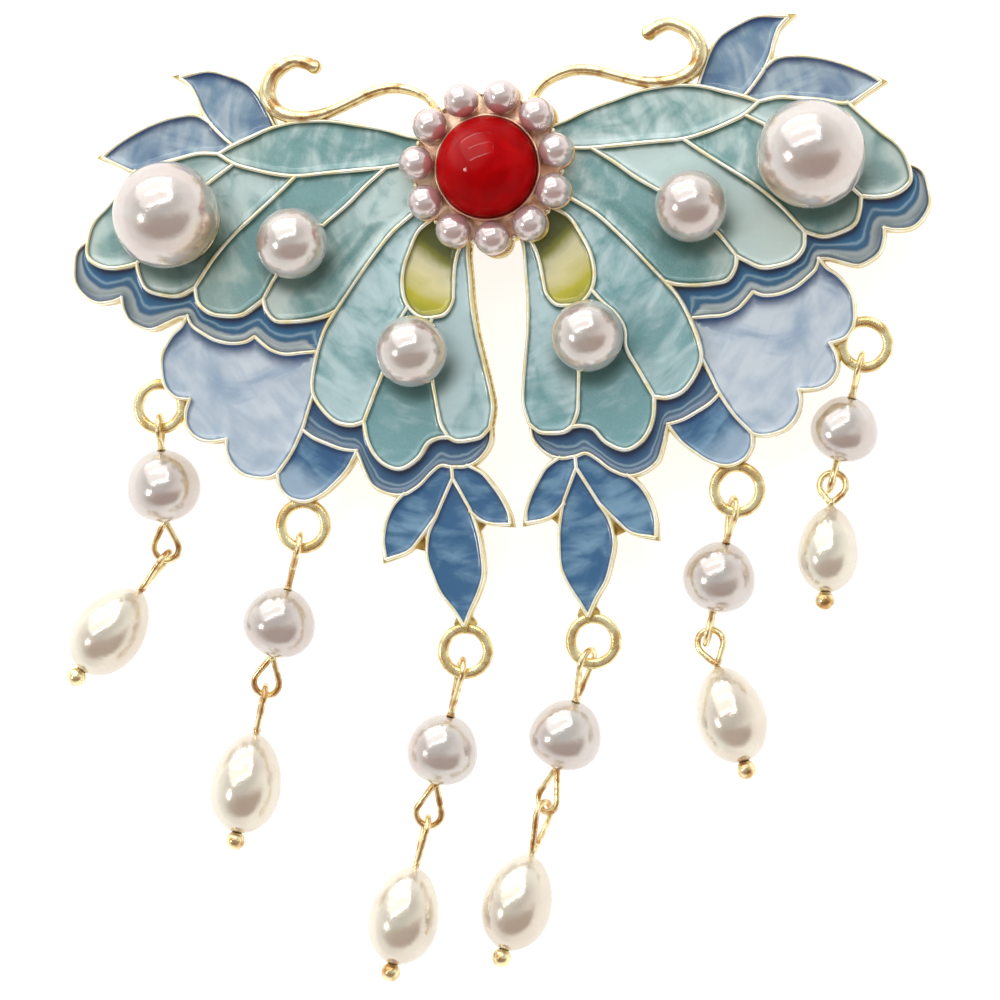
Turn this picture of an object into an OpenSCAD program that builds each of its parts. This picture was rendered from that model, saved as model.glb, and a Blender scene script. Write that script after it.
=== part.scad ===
// Butterfly hairpin with enamel wings, pearls and six hanging strands, lying face up.
// The origin is under the middle of the flower, on the surface that the hairpin lies on.
// +X is across the wings, +Y is towards the feelers, +Z is up out of the enamel. Millimetres.

/* [Butterfly] */
// Width across both wings
wing_span = 72; // [64:0.5:80]
// Length from the middle of the flower down to the tip of a tail
body_len = 38; // [34:0.5:42]
// Height of the casting's flat back above the surface
lift = 4; // [3.6:0.1:5]
// Thickness of the casting at its lower rims
plate_t = 1.7; // [1.5:0.1:2.4]
// How far the green wings stand above the blue parts
wing_raise = 0.6; // [0.4:0.1:1]
// Width of the metal walls between the enamel cells
wall_w = 0.6; // [0.5:0.05:0.75]
// Set-back of the raised rims from the walls below them
rim_step = 0.12; // [0.1:0.01:0.16]
// Depth of the enamel cells below their rims
cell_depth = 0.9; // [0.7:0.05:1.1]
// How far the enamel's surface lies below its rim
enamel_drop = 0.2; // [0.1:0.05:0.3]
// Clearance between pieces that are set into or onto each other
fit_gap = 0.05; // [0.03:0.01:0.1]

/* [Feelers] */
// Share of the drawn width of the feelers
feeler_w = 1; // [0.8:0.05:1.2]
// Thickness of the feelers
feeler_t = 1.4; // [1.2:0.1:1.8]

/* [Flower] */
// Number of seed pearls round the red stone
seed_count = 11; // [9:1:12]
// Diameter of a seed pearl
seed_d = 3; // [2.6:0.1:3.1]
// Diameter of the red stone
stone_d = 8.4; // [7:0.1:8.6]
// Height of the red stone above its seat
stone_h = 5; // [4.6:0.1:5.6]
// Thickness of the thin band round the red stone
bezel_t = 0.2; // [0.2:0.05:0.3]
// Height of the thin band round the red stone
bezel_h = 0.7; // [0.5:0.1:0.9]
// Height of the flower's seat above the raised rims
seat_h = 0.2; // [0.1:0.05:0.4]

/* [Pearls on the wings] */
// Diameter of the large pearls
big_d = 9; // [8:0.5:10]
// Diameter of the medium pearls
mid_d = 6; // [5:0.5:7]
// Height of a set pearl's centre above its flat, as a share of its radius
pearl_cut = 0.75; // [0.6:0.05:0.9]

/* [Rings and wires] */
// Outer diameter of the rings on the casting
ring_d = 4.7; // [4.5:0.1:5.2]
// Hole of the rings on the casting
ring_hole = 2.9; // [2.8:0.05:3.2]
// Thickness of the rings on the casting
ring_t = 0.9; // [0.7:0.1:1]
// Diameter of the wire that the pins are bent from
wire_d = 0.5; // [0.45:0.05:0.55]
// Radius of the wire's centre line in the loops at the rings
top_loop_r = 1.15; // [1.15:0.05:1.3]
// Radius of the wire's centre line in the loops between the pearls
low_loop_r = 1.1; // [1.05:0.05:1.2]
// Thickness of the flattened wire in the loops, as a share of the wire's diameter
wire_flat = 0.8; // [0.7:0.05:0.9]
// Clearance between two wires that hang in each other
link_gap = 0.3; // [0.25:0.01:0.35]
// Diameter of the ball at the end of each strand
ball_d = 1.6; // [1.2:0.1:2]
// Clearance of the wire in a pearl's hole
hole_gap = 0.12; // [0.1:0.01:0.2]

/* [Pearls on the strands] */
// Diameter of a round pearl
bead_d = 6.2; // [5.6:0.1:6.6]
// Length of a round pearl along its hole, as a share of its diameter
bead_flat = 0.9; // [0.85:0.01:1]
// Diameter of a drop pearl
drop_d = 5.8; // [5.2:0.1:6.4]
// Length of a drop pearl
drop_len = 8.2; // [7.4:0.1:9]

/* [Hair fork] */
// Diameter of a prong
prong_d = 1.6; // [1.4:0.1:2]
// Distance between the middles of the prongs
prong_gap = 10.6; // [9.6:0.1:11]
// Straight length of a prong
prong_len = 28.5; // [20:0.5:31]
// Length of a prong's tapered tip
tip_len = 1.2; // [0.8:0.1:2]
// Width of the fork's pad
pad_w = 11; // [9:0.5:11]
// Depth of the fork's pad from front to back
pad_d = 5.5; // [4:0.5:5.5]

/* [Hidden] */
// Steps between two points of an outline
steps = 3;
// Facets of a round shape where it is drawn
$fn = 40;
// How far a cut runs past what it cuts
past = 1;

half_span = wing_span / 2;
low_top = lift + plate_t;
high_top = low_top + wing_raise;
seat_top = high_top + seat_h;
wire_r = wire_d / 2;
ring_r = ring_d / 2;
ring_mid_r = (ring_d + ring_hole) / 4;
ring_z = lift + ring_t / 2;
ring_bite = 0.2;
ring_tab_r = 0.95;
// Distance of an end ball's middle from the drop above it, as a share of its diameter
ball_seat = 0.45;
// How much fuller a drop pearl is towards its lower end
drop_full = 0.12;

// Outlines of the right wing. Each row is one point on the middle of a metal wall: across, in
// hundredths of the half span, and along, in hundredths of the body's length, from the
// middle of the flower. Neighbouring cells use the same outline, so their wall is shared.
petal_top = [[12.5, 7], [18.5, 8.5], [24, 10.5], [30, 12], [36.5, 13.5], [43.5, 14], [50, 13.5],
    [55.5, 12], [60, 10.5], [63.5, 9]];
petal_low = [[11, 3.5], [18, 3], [24, 2.5], [30.5, 2.5], [38, 2.5], [45.5, 2.5], [51, 3.5],
    [56, 5], [60, 6.5], [63.5, 9]];
leaf_up_out = [[50, 13.5], [51.5, 17], [53.5, 21], [56, 24], [60, 26], [65, 27.5], [71.5, 27]];
leaf_up_in = [[71.5, 27], [69, 25], [67.5, 22], [66.5, 19], [65, 16], [63, 13.5], [60, 10.5]];
leaf_side_top = [[65, 16], [68.5, 18], [73.5, 18], [78.5, 17], [84, 15], [89, 12.5], [91.5, 11]];
leaf_side_low = [[91.5, 11], [87.5, 9], [83.5, 7], [78, 8], [72, 9], [68, 9.5], [63.5, 9]];
lobe_1 = [[83.5, 7], [87, 3], [90.5, -0.5], [94, -3.5], [96, -7.5], [96.5, -11], [94.5, -13],
    [91.5, -14], [88, -14], [85, -13.5]];
vein_12 = [[60, 6.5], [67.5, 2], [75, -4], [81, -9.5], [85, -13.5]];
lobe_2 = [[85, -13.5], [84.5, -16.5], [83, -19.5], [79.5, -21], [75.5, -21.5], [71.5, -20]];
vein_23 = [[45.5, 2.5], [50, -1], [55.5, -5], [61, -9], [66.5, -14], [71.5, -20]];
lobe_3 = [[71.5, -20], [71, -23.5], [68.5, -26], [64.5, -27], [61, -27], [58, -25.5], [55.5, -24]];
vein_34 = [[24, 2.5], [29, -1], [34, -5], [40, -9], [46, -13.5], [51.5, -18.5], [55.5, -24]];
lobe_4 = [[55.5, -24], [55, -26.5], [53, -29], [49.5, -29.5], [45.5, -29.5], [41.5, -29],
    [38.5, -28]];
vein_4g = [[14.5, -5.5], [19, -8.5], [24, -12], [28.5, -16.5], [33, -21.5], [38.5, -28]];
hind_outer = [[38.5, -28], [41.5, -32], [43.5, -36.5], [45, -41], [45.5, -45.5], [43.5, -49.5],
    [40.5, -52.5], [37, -53.5], [34, -53]];
lime_outer = [[13.5, -9.5], [17.5, -12], [20, -16], [22, -20.5], [22.5, -25], [21.5, -28.5],
    [19, -31], [16, -31.5]];
lime_inner = [[16, -31.5], [13, -31], [11, -28.5], [10.5, -25.5], [10, -21.5], [9, -18], [7, -14]];
seat_link = [[16, -31.5], [18, -35.5], [20.5, -39]];
vein_gh = [[21.5, -28.5], [24, -31.5], [27, -34.5], [28.5, -38], [28.5, -42], [31, -47], [34, -53]];
vein_hi = [[20.5, -39], [17.5, -43.5], [17, -47], [16.5, -51.5], [16, -55], [14.5, -58]];
hind_mid = [[14.5, -58], [17, -58], [19.5, -59], [22, -62], [26, -64], [29.5, -63], [32, -60.5],
    [33.5, -57], [34, -53]];
hind_inner_low = [[5, -56.5], [7, -58.5], [9.5, -59], [12.5, -59], [14.5, -58]];
hind_edge = [[6, -14], [7, -18], [7, -23.5], [7, -29], [6.5, -35.5], [5.5, -41.5], [4.5, -47],
    [4, -52], [5, -56.5]];
rim_1 = [[96, -7.5], [99, -9.5], [100, -13], [100, -16.5], [98, -19.5], [95.5, -21], [92, -21],
    [89.5, -20.5]];
rim_2 = [[89.5, -20.5], [89, -23], [88, -25.5], [86, -27], [83, -28], [79.5, -27], [76.5, -26],
    [74, -26]];
rim_3 = [[74, -26], [73, -28.5], [70.5, -30.5], [68, -32], [64.5, -33], [61, -33], [58.5, -32]];
rim_4 = [[58.5, -32], [56.5, -34], [54.5, -35.5], [51.5, -36.5], [48, -36.5], [43.5, -36.5]];
sky_1 = [[74, -26], [75.5, -28.5], [78, -30.5], [80.5, -34], [81, -37.5], [80.5, -41],
    [78.5, -43.5], [75, -44.5]];
sky_2 = [[75, -44.5], [76, -47.5], [76, -50.5], [74, -53], [71, -54], [67, -54]];
sky_3 = [[67, -54], [67, -56.5], [66, -59.5], [63.5, -62], [60, -63], [57.5, -63], [55.5, -62.5]];
sky_edge = [[45.5, -45.5], [47.5, -50], [49, -53.5], [52, -58.5], [55.5, -62.5]];
low_rim = [[5, -56.5], [5.5, -60], [8, -63], [11, -64.5], [14.5, -64.5], [17, -64], [19.5, -65.5],
    [22.5, -68], [26, -69.5], [29.5, -69], [33, -67], [34.5, -64], [35.5, -61], [36.5, -59]];
low_rim_up = [[36.5, -59], [40, -58.5], [43.5, -57], [46.5, -55.5], [49, -53.5]];
petal_small = [[55.5, -62.5], [55, -65.5], [53, -68], [49.5, -69], [46, -68], [43, -66],
    [39.5, -63], [36.5, -59]];
tail_stem = [[14.5, -64.5], [14.5, -67]];
tail_mid_in = [[14.5, -67], [12.5, -71], [11, -74.5], [10, -79], [9.5, -83.5], [9.5, -88.5],
    [11, -92.5], [13, -96], [14.5, -99.5]];
tail_mid_out = [[14.5, -67], [16.5, -70.5], [19, -75], [21, -79], [21.5, -84], [20.5, -88],
    [19, -92], [16.5, -95.5], [14.5, -99.5]];
tail_out_top = [[26, -69.5], [28.5, -72], [30.5, -75.5], [31.5, -79.5], [31.5, -83.5]];
tail_out_low = [[31.5, -83.5], [26.5, -82], [23, -79], [19, -75]];
tail_in_top = [[11, -64.5], [8, -66.5], [6, -69], [4, -72], [2.5, -75.5], [2, -78]];
tail_in_low = [[2, -78], [5.5, -77.5], [8.5, -76.5], [11, -74.5]];
// Thin webs of metal between the leaves of a tail
web_out = [[19, -75], [25.5, -81.5], [22.5, -82.5], [21, -80.5]];
web_in = [[11, -74.5], [7, -77], [9, -79], [10, -78.5]];

// Middle line of a feeler: across, along, and its width in millimetres
feeler_line = [[11, 14, 0.55], [13.5, 17, 0.6], [17, 19, 0.75], [21.5, 20, 0.85], [26, 19.5, 0.85],
    [30.5, 18, 0.8], [35, 16.5, 0.8], [39.5, 15.5, 0.95], [44, 15.5, 1.05], [47.5, 16.5, 1.15],
    [50, 18.5, 1.25], [51, 21.5, 1.3], [50, 24.5, 1.2], [48, 26.5, 1.1], [44.5, 28, 1],
    [41.5, 27.5, 1.05], [39.5, 26.5, 1.1]];

// Width of a feeler's round end, as a share of its last width
feeler_end = 1.08;

// Middles of the set pearls on a wing: across and along
big_seat = [75, -4.5];
mid_seats = [[46.5, -13], [20.5, -39]];

// Where the rings join the casting: across, along, and the way that the ring faces in degrees
ring_seats = [[77, -45.5, 0], [50.5, -69, -85], [14.5, -99.5, -85]];

// Columns of the table of strands. The side is -1 for the left one, and the ring is its row in the
// table of rings. A swing is a pin's turn away from straight down, in degrees. A reach is a loop's
// length in radii of its bend. The slack is how far the lower pin has slid up, in millimetres. A roll
// is a loop's turn about its pin. The two sizes are shares of the usual pearls' sizes.
side = 0;
ring = 1;
eye_swing = 2;
top_reach = 3;
low_reach = 4;
slack = 5;
head_swing = 6;
bail_reach = 7;
top_roll = 8;
low_roll = 9;
bail_roll = 10;
bead_size = 11;
drop_size = 12;
// The six strands, from the outer left one round to the outer right one
STRANDS = [
    [-1, 0, -5, 1.45, 2, 0, -40, 2.5, 85, 5, 90, 1.02, 1],
    [-1, 1, -20, 3.1, 2.1, 0, -14, 2.45, 75, 0, 75, 0.98, 1.02],
    [-1, 2, -19, 3.2, 2.35, 0, -17, 2.65, 72, 0, 75, 0.98, 1],
    [1, 2, -22, 2.9, 2.5, 0, -20, 2.9, -72, 35, 115, 0.98, 0.98],
    [1, 1, -17, 2.2, 1.5, 0.4, 12, 1.7, 70, 90, 0, 0.98, 0.98],
    [1, 0, -19, 2.2, 1.35, 0.8, -8, 1.35, 90, 90, 0, 0.9, 0.86]
];

function at(row) = [row[0] * half_span / 100, row[1] * body_len / 100];

// A smooth line through points: each stretch blends the point before, its two ends and the point
// after it by a cubic, and at an open end the line runs on as it came.
function blend(a, b, c, d, t) =
    (2 * b + (c - a) * t + (2 * a - 5 * b + 4 * c - d) * t * t + (3 * b - a - 3 * c + d) * t * t * t) / 2;
function smooth(p) =
    let (n = len(p) - 1)
    concat([for (i = [0:n - 1], k = [0:steps - 1])
        blend(i == 0 ? 2 * p[0] - p[1] : p[i - 1], p[i], p[i + 1],
            i == n - 1 ? 2 * p[n] - p[n - 1] : p[i + 2], k / steps)], [p[n]]);
function line(rows) = smooth([for (r = rows) at(r)]);
// The stretch of a line from one of its rows to another, either way round
function stretch(rows, from, to) =
    let (pts = line(rows), way = to > from ? 1 : -1)
    [for (k = [from * steps : way : to * steps]) pts[k]];
function back(pts) = [for (k = [len(pts) - 1 : -1 : 0]) pts[k]];

// Enamel cells of the right wing by group, each as one closed outline
FORE = [
    concat(line(petal_top), back(line(petal_low))),
    concat(stretch(leaf_side_low, 6, 2), line(lobe_1), back(line(vein_12)), stretch(petal_low, 8, 9)),
    concat(line(vein_12), line(lobe_2), back(line(vein_23)), stretch(petal_low, 5, 8)),
    concat(line(vein_23), line(lobe_3), back(line(vein_34)), stretch(petal_low, 2, 5)),
    concat(line(vein_34), line(lobe_4), back(line(vein_4g)), stretch(petal_low, 0, 2))
];
HIND = [
    concat(line(vein_4g), line(hind_outer), back(line(vein_gh)), stretch(lime_outer, 5, 0)),
    concat(line(vein_gh), back(line(hind_mid)), back(line(vein_hi)), back(line(seat_link)),
        stretch(lime_outer, 7, 5)),
    concat(back(line(lime_inner)), line(seat_link), line(vein_hi), back(line(hind_inner_low)),
        back(line(hind_edge)))
];
LIME = [concat(line(lime_outer), line(lime_inner))];
BORDER = [
    concat(line(rim_1), line(rim_2), line(rim_3), line(rim_4), stretch(hind_outer, 2, 0),
        back(line(lobe_4)), back(line(lobe_3)), back(line(lobe_2)), stretch(lobe_1, 9, 4)),
    concat(line(low_rim), line(low_rim_up), stretch(sky_edge, 2, 0), stretch(hind_outer, 4, 8),
        back(line(hind_mid)), back(line(hind_inner_low)))
];
SKY = [
    concat(back(line(rim_4)), back(line(rim_3)), line(sky_1), line(sky_2), line(sky_3),
        back(line(sky_edge)), stretch(hind_outer, 4, 2))
];
LEAVES = [
    concat(line(leaf_up_out), line(leaf_up_in), stretch(petal_top, 8, 6)),
    concat(line(leaf_side_top), line(leaf_side_low), stretch(petal_top, 9, 8), stretch(leaf_up_in, 6, 4))
];
TAIL = [
    concat(line(low_rim_up), stretch(sky_edge, 2, 4), line(petal_small)),
    concat(line(tail_mid_in), back(line(tail_mid_out))),
    concat(stretch(low_rim, 4, 8), line(tail_out_top), line(tail_out_low), stretch(tail_mid_out, 2, 0),
        back(line(tail_stem))),
    concat(stretch(low_rim, 4, 3), line(tail_in_top), line(tail_in_low), stretch(tail_mid_in, 2, 0),
        back(line(tail_stem)))
];
HIGH = concat(FORE, HIND, LIME);
LOW = concat(BORDER, SKY, LEAVES, TAIL);

// Flower. Its flat round and its scallops, as shares of a seed pearl's diameter
flower_rim = 0.1;
scallop = 0.48;
seed_ring_r = max(stone_d / 2 + seed_d / 2 + fit_gap + bezel_t,
    (seed_d + 2 * fit_gap) / 2 / sin(180 / seed_count));
flower_r = seed_ring_r + flower_rim * seed_d;
scallop_r = scallop * seed_d;
bezel_r = stone_d / 2 + fit_gap + bezel_t;
function seed_angle(i) = 270 + (i - 1) * 360 / seed_count;

// Sets pearls: the flat lies on the rims below it
function set_z(d) = fit_gap + d / 2 * pearl_cut;

// Strands, one value each for strand i
function of_strand(i, column) = STRANDS[i - 1][column];
function ring_seat(i) = ring_seats[of_strand(i, ring)];
function ring_at(i) =
    let (seat = ring_seat(i), out = ring_r - ring_bite)
    [of_strand(i, side) * (at(seat).x + out * cos(seat[2])), at(seat).y + out * sin(seat[2])];
function bead_r(i) = bead_d * of_strand(i, bead_size) / 2;
function bead_half(i) = bead_r(i) * bead_flat;
function drop_r(i) = drop_d * of_strand(i, drop_size) / 2;
function drop_half(i) = drop_len * of_strand(i, drop_size) / 2;
// Barrel-shaped knots, where a loop's two sides meet the straight wire
knot_r = 1.5 * wire_r;
knot_half = 1.5 * wire_r;
neck = knot_half + fit_gap;
// From the middle of a lower loop's bend to the point midway between the two wires that meet there
link_reach = low_loop_r - (wire_d + link_gap) / 2;
function top_loop(i) = of_strand(i, top_reach) * top_loop_r;
function low_loop(i) = of_strand(i, low_reach) * low_loop_r;
function bail(i) = of_strand(i, bail_reach) * low_loop_r;
// Each pin's heading about Z and its fall below level: a round pearl and a drop both lie on the surface
function heading(turn, fall) = [cos(fall) * cos(turn), cos(fall) * sin(turn), -sin(fall)];
function eye_turn(i) = of_strand(i, eye_swing) - 90;
function eye_reach(i) = top_loop(i) + neck + bead_half(i);
function eye_fall(i) = asin((ring_z - bead_r(i)) / eye_reach(i));
function bead_at(i) =
    let (turn = eye_turn(i))
    [ring_at(i).x + ring_mid_r * cos(turn), ring_at(i).y + ring_mid_r * sin(turn), ring_z]
        + eye_reach(i) * heading(turn, eye_fall(i));
function link_at(i) =
    bead_at(i) + (bead_half(i) + neck + low_loop(i) + link_reach - of_strand(i, slack))
        * heading(eye_turn(i), eye_fall(i));
function head_turn(i) = of_strand(i, head_swing) - 90;
function head_reach(i) = link_reach + bail(i) + neck + drop_half(i);
function head_fall(i) = asin((link_at(i).z - drop_r(i)) / head_reach(i));
function drop_at(i) = link_at(i) + head_reach(i) * heading(head_turn(i), head_fall(i));

STRAND_COUNT = len(STRANDS);

module both_sides() {
    children();
    mirror([1, 0, 0]) children();
}

module on_side(s) {
    if (s == "left") mirror([1, 0, 0]) children();
    else children();
}

// All the cells of a list as one flat shape, with the walls round them
module walls_2d(cells, grow) {
    offset(delta = grow) for (c = cells) polygon(c);
}

module flower_2d(grow) {
    circle(flower_r + grow);
    for (i = [1:seed_count]) rotate(seed_angle(i)) translate([seed_ring_r, 0]) circle(scallop_r + grow);
}

// One cell, drawn in from the middle of its wall and clear of the flower's seat
module cell_2d(cell, inset, clear) {
    difference() {
        offset(delta = -inset) polygon(cell);
        flower_2d(clear);
    }
}

module pockets(cells, top) {
    for (c = cells) translate([0, 0, top - cell_depth])
        linear_extrude(cell_depth + past) cell_2d(c, wall_w / 2, 0);
}

module feeler() {
    pts = smooth([for (r = feeler_line) [at(r).x, at(r).y, r[2] * feeler_w]]);
    last = len(pts) - 1;
    function normal(k) =
        let (a = pts[max(k - 1, 0)], b = pts[min(k + 1, last)], l = norm([b.x - a.x, b.y - a.y]))
        [(a.y - b.y) / l, (b.x - a.x) / l];
    function rim(k, s) = [pts[k].x, pts[k].y] + normal(k) * s * pts[k].z / 2;
    translate([0, 0, seat_top - feeler_t]) linear_extrude(feeler_t) {
        polygon(concat([for (k = [0:last]) rim(k, 1)], [for (k = [last:-1:0]) rim(k, -1)]));
        translate([pts[last].x, pts[last].y]) circle(pts[last].z / 2 * feeler_end);
    }
}

module rings() {
    for (i = [1:STRAND_COUNT]) {
        translate([ring_at(i).x, ring_at(i).y, lift]) cylinder(r = ring_r, h = ring_t);
        translate([of_strand(i, side) * at(ring_seat(i)).x, at(ring_seat(i)).y, lift])
            cylinder(r = ring_tab_r, h = ring_t);
    }
}

module frame() {
    color("gold") difference() {
        union() {
            difference() {
                union() {
                    both_sides() {
                        translate([0, 0, lift]) linear_extrude(plate_t)
                            walls_2d(concat(HIGH, LOW), wall_w / 2);
                        translate([0, 0, low_top - cell_depth]) linear_extrude(cell_depth + wing_raise)
                            walls_2d(HIGH, wall_w / 2 - rim_step);
                        translate([0, 0, lift]) linear_extrude(ring_t) {
                            polygon([for (r = web_out) at(r)]);
                            polygon([for (r = web_in) at(r)]);
                        }
                    }
                    rings();
                }
                both_sides() {
                    pockets(HIGH, high_top);
                    pockets(LOW, low_top);
                }
            }
            both_sides() feeler();
            translate([0, 0, lift]) {
                cylinder(r = flower_r, h = seat_top - lift);
                for (i = [1:seed_count]) rotate(seed_angle(i)) translate([seed_ring_r, 0, 0])
                    cylinder(r = scallop_r, h = seat_top - lift);
            }
            translate([0, 0, seat_top - past]) difference() {
                cylinder(r = bezel_r, h = bezel_h + past);
                translate([0, 0, past]) cylinder(r = bezel_r - bezel_t, h = bezel_h + past);
            }
        }
        for (i = [1:STRAND_COUNT]) translate([ring_at(i).x, ring_at(i).y, lift - past])
            cylinder(d = ring_hole, h = ring_t + 2 * past);
    }
}

module enamel(cells, top, s) {
    on_side(s) for (c = cells) translate([0, 0, top - cell_depth + fit_gap])
        linear_extrude(cell_depth - enamel_drop - fit_gap) cell_2d(c, wall_w / 2 + fit_gap, fit_gap);
}

// A ball cut flat below, standing on its flat at height z
module set_ball(d, z, cut) {
    difference() {
        translate([0, 0, z + d / 2 * cut]) sphere(d = d);
        translate([0, 0, z - d]) cylinder(r = d, h = d);
    }
}

module cabochon() {
    color("firebrick") set_ball(stone_d, seat_top + fit_gap, 2 * stone_h / stone_d - 1);
}

module seed_pearl(i) {
    color("mistyrose") rotate(seed_angle(i)) translate([seed_ring_r, 0, 0])
        set_ball(seed_d, seat_top + fit_gap, pearl_cut);
}

module wing_pearl(seat, d, s) {
    color("seashell") on_side(s) translate([at(seat).x, at(seat).y, 0])
        set_ball(d, high_top + fit_gap, pearl_cut);
}

// A loop of flattened wire in the XY plane: its round end is about the origin and its two
// straight sides meet on +X
module loop(r, reach) {
    bends = 18;
    half = acos(r / reach);
    function arc(radius) = [for (k = [0:bends])
        let (a = half + (360 - 2 * half) * k / bends) radius * [cos(a), sin(a)]];
    function tip(s) = [reach + wire_r * cos(half), s * wire_r * sin(half)];
    linear_extrude(wire_flat * wire_d, center = true) difference() {
        polygon(concat(arc(r + wire_r), [tip(-1), tip(1)]));
        polygon(concat(arc(r - wire_r), [[(r - wire_r) / cos(half), 0]]));
    }
}

module along(p, turn, fall) {
    translate(p) rotate([0, fall, turn]) children();
}

// A turned piece about X, from its half outline in radius and length
module turned(outline) {
    rotate([0, 90, 0]) rotate_extrude() polygon(outline);
}

function knot_side(x) =
    [[wire_r, x - knot_half], [knot_r, x - knot_half / 2], [knot_r, x + knot_half / 2],
        [wire_r, x + knot_half]];
function ball_side(x) =
    let (r = ball_d / 2, bands = 12, start = asin(wire_r / r))
    [for (k = [0:bands - 1]) let (a = start + (180 - start) * k / bands) [r * sin(a), x - r * cos(a)]];

module eye_pin(i) {
    end = bead_half(i) + neck;
    color("gold") along(bead_at(i), eye_turn(i), eye_fall(i)) {
        turned(concat([[0, -end - knot_half]], knot_side(-end), knot_side(end), [[0, end + knot_half]]));
        rotate([of_strand(i, top_roll), 0, 0]) translate([-end - top_loop(i), 0, 0])
            loop(top_loop_r, top_loop(i));
        rotate([of_strand(i, low_roll), 0, 0]) translate([end + low_loop(i), 0, 0]) mirror([1, 0, 0])
            loop(low_loop_r, low_loop(i));
    }
}

module head_pin(i) {
    end = drop_half(i) + neck;
    ball = drop_half(i) + fit_gap + ball_seat * ball_d;
    color("gold") along(drop_at(i), head_turn(i), head_fall(i)) {
        turned(concat([[0, -end - knot_half]], knot_side(-end), ball_side(ball), [[0, ball + ball_d / 2]]));
        rotate([of_strand(i, bail_roll), 0, 0]) translate([-end - bail(i), 0, 0]) loop(low_loop_r, bail(i));
    }
}

// A drilled pearl about X. Its radius follows a half round, fuller by a share towards +X, and the
// first and last points of the profile lie on the hole's wall.
module drilled_pearl(r, half, full) {
    bands = 14;
    bore = wire_r + hole_gap;
    start = asin(bore / r);
    function turn(k) = start + (180 - 2 * start) * k / bands;
    turned([for (k = [0:bands])
        let (a = turn(k), x = -cos(a))
        [k == 0 || k == bands ? bore : r * sin(a) * (1 + full * x * sin(a)), half * x / cos(start)]]);
}

module round_pearl(i) {
    color("seashell") along(bead_at(i), eye_turn(i), eye_fall(i))
        drilled_pearl(bead_r(i), bead_half(i), 0);
}

module drop_pearl(i) {
    color("linen") along(drop_at(i), head_turn(i), head_fall(i))
        drilled_pearl(drop_r(i), drop_half(i), drop_full);
}

// A two-pronged fork with a flat pad, in one plain piece behind the casting
module hair_fork() {
    bend = prong_gap / 2;
    bend_y = -bend + prong_d / 2;
    color("gold") {
        translate([-pad_w / 2, -pad_d / 2, 0]) cube([pad_w, pad_d, lift - fit_gap]);
        translate([0, bend_y, prong_d / 2]) {
            rotate_extrude(angle = 180) translate([bend, 0]) circle(d = prong_d);
            for (s = [-1, 1]) translate([s * bend, 0, 0]) rotate([90, 0, 0]) {
                cylinder(d = prong_d, h = prong_len);
                translate([0, 0, prong_len]) cylinder(d1 = prong_d, d2 = prong_d / 2, h = tip_len);
            }
        }
    }
}

frame();
hair_fork();
cabochon();
for (s = ["left", "right"]) {
    color("steelblue") enamel(LEAVES, low_top, s);
    color("lightblue") enamel(FORE, high_top, s);
    color("paleturquoise") enamel(HIND, high_top, s);
    color("yellowgreen") enamel(LIME, high_top, s);
    color("darkslateblue") enamel(BORDER, low_top, s);
    color("lightsteelblue") enamel(SKY, low_top, s);
    color("royalblue") enamel(TAIL, low_top, s);
    wing_pearl(big_seat, big_d, s);
    wing_pearl(mid_seats[0], mid_d, s);
    wing_pearl(mid_seats[1], mid_d, s);
}
for (i = [1:seed_count]) seed_pearl(i);
for (i = [1:STRAND_COUNT]) {
    eye_pin(i);
    round_pearl(i);
    head_pin(i);
    drop_pearl(i);
}
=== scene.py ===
# %% [markdown]
# # A butterfly hairpin in gilt metal, enamel and pearls
#
# The packed model gives the true sizes. This lesson loads it, keeps it as the frame, and builds
# the pieces that the eye sees over it: rounded metal rims, enamel that climbs the walls of its
# cells, pearls with a soft lustre and wires bent from one length.

# %% Load the packed model
import math
from collections import namedtuple

import bmesh
import bpy
import numpy as np
from mathutils import Matrix, Vector
from mathutils.geometry import delaunay_2d_cdt


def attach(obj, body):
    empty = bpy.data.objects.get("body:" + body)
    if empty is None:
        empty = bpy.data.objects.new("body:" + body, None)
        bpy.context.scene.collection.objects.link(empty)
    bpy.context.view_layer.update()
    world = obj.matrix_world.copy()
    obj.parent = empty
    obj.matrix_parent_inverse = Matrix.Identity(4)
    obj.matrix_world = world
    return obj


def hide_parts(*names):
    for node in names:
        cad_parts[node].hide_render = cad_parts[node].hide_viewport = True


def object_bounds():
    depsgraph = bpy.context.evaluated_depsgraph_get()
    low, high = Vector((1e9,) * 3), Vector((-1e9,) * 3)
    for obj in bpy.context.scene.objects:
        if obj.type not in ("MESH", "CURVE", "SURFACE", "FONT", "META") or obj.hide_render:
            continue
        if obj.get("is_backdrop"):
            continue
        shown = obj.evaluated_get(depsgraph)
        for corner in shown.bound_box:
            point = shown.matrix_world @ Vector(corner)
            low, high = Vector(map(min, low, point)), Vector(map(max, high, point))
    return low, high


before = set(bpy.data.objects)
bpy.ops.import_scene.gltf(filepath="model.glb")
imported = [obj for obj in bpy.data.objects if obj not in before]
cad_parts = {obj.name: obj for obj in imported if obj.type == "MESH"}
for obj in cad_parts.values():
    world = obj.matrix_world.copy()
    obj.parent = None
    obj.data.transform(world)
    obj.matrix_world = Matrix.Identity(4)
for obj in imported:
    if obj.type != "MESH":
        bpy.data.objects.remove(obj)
cad_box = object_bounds()
MM = 0.001
print("nodes", len(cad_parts))

# %% [markdown]
# ## Sizes
#
# The model's driving sizes are repeated here in millimetres, because a scene can't read the
# source of the model. Places on a wing are hundredths of the half span and of the body's length.
# Every piece is worked out in millimetres and scaled once, when its mesh is made.

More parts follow.
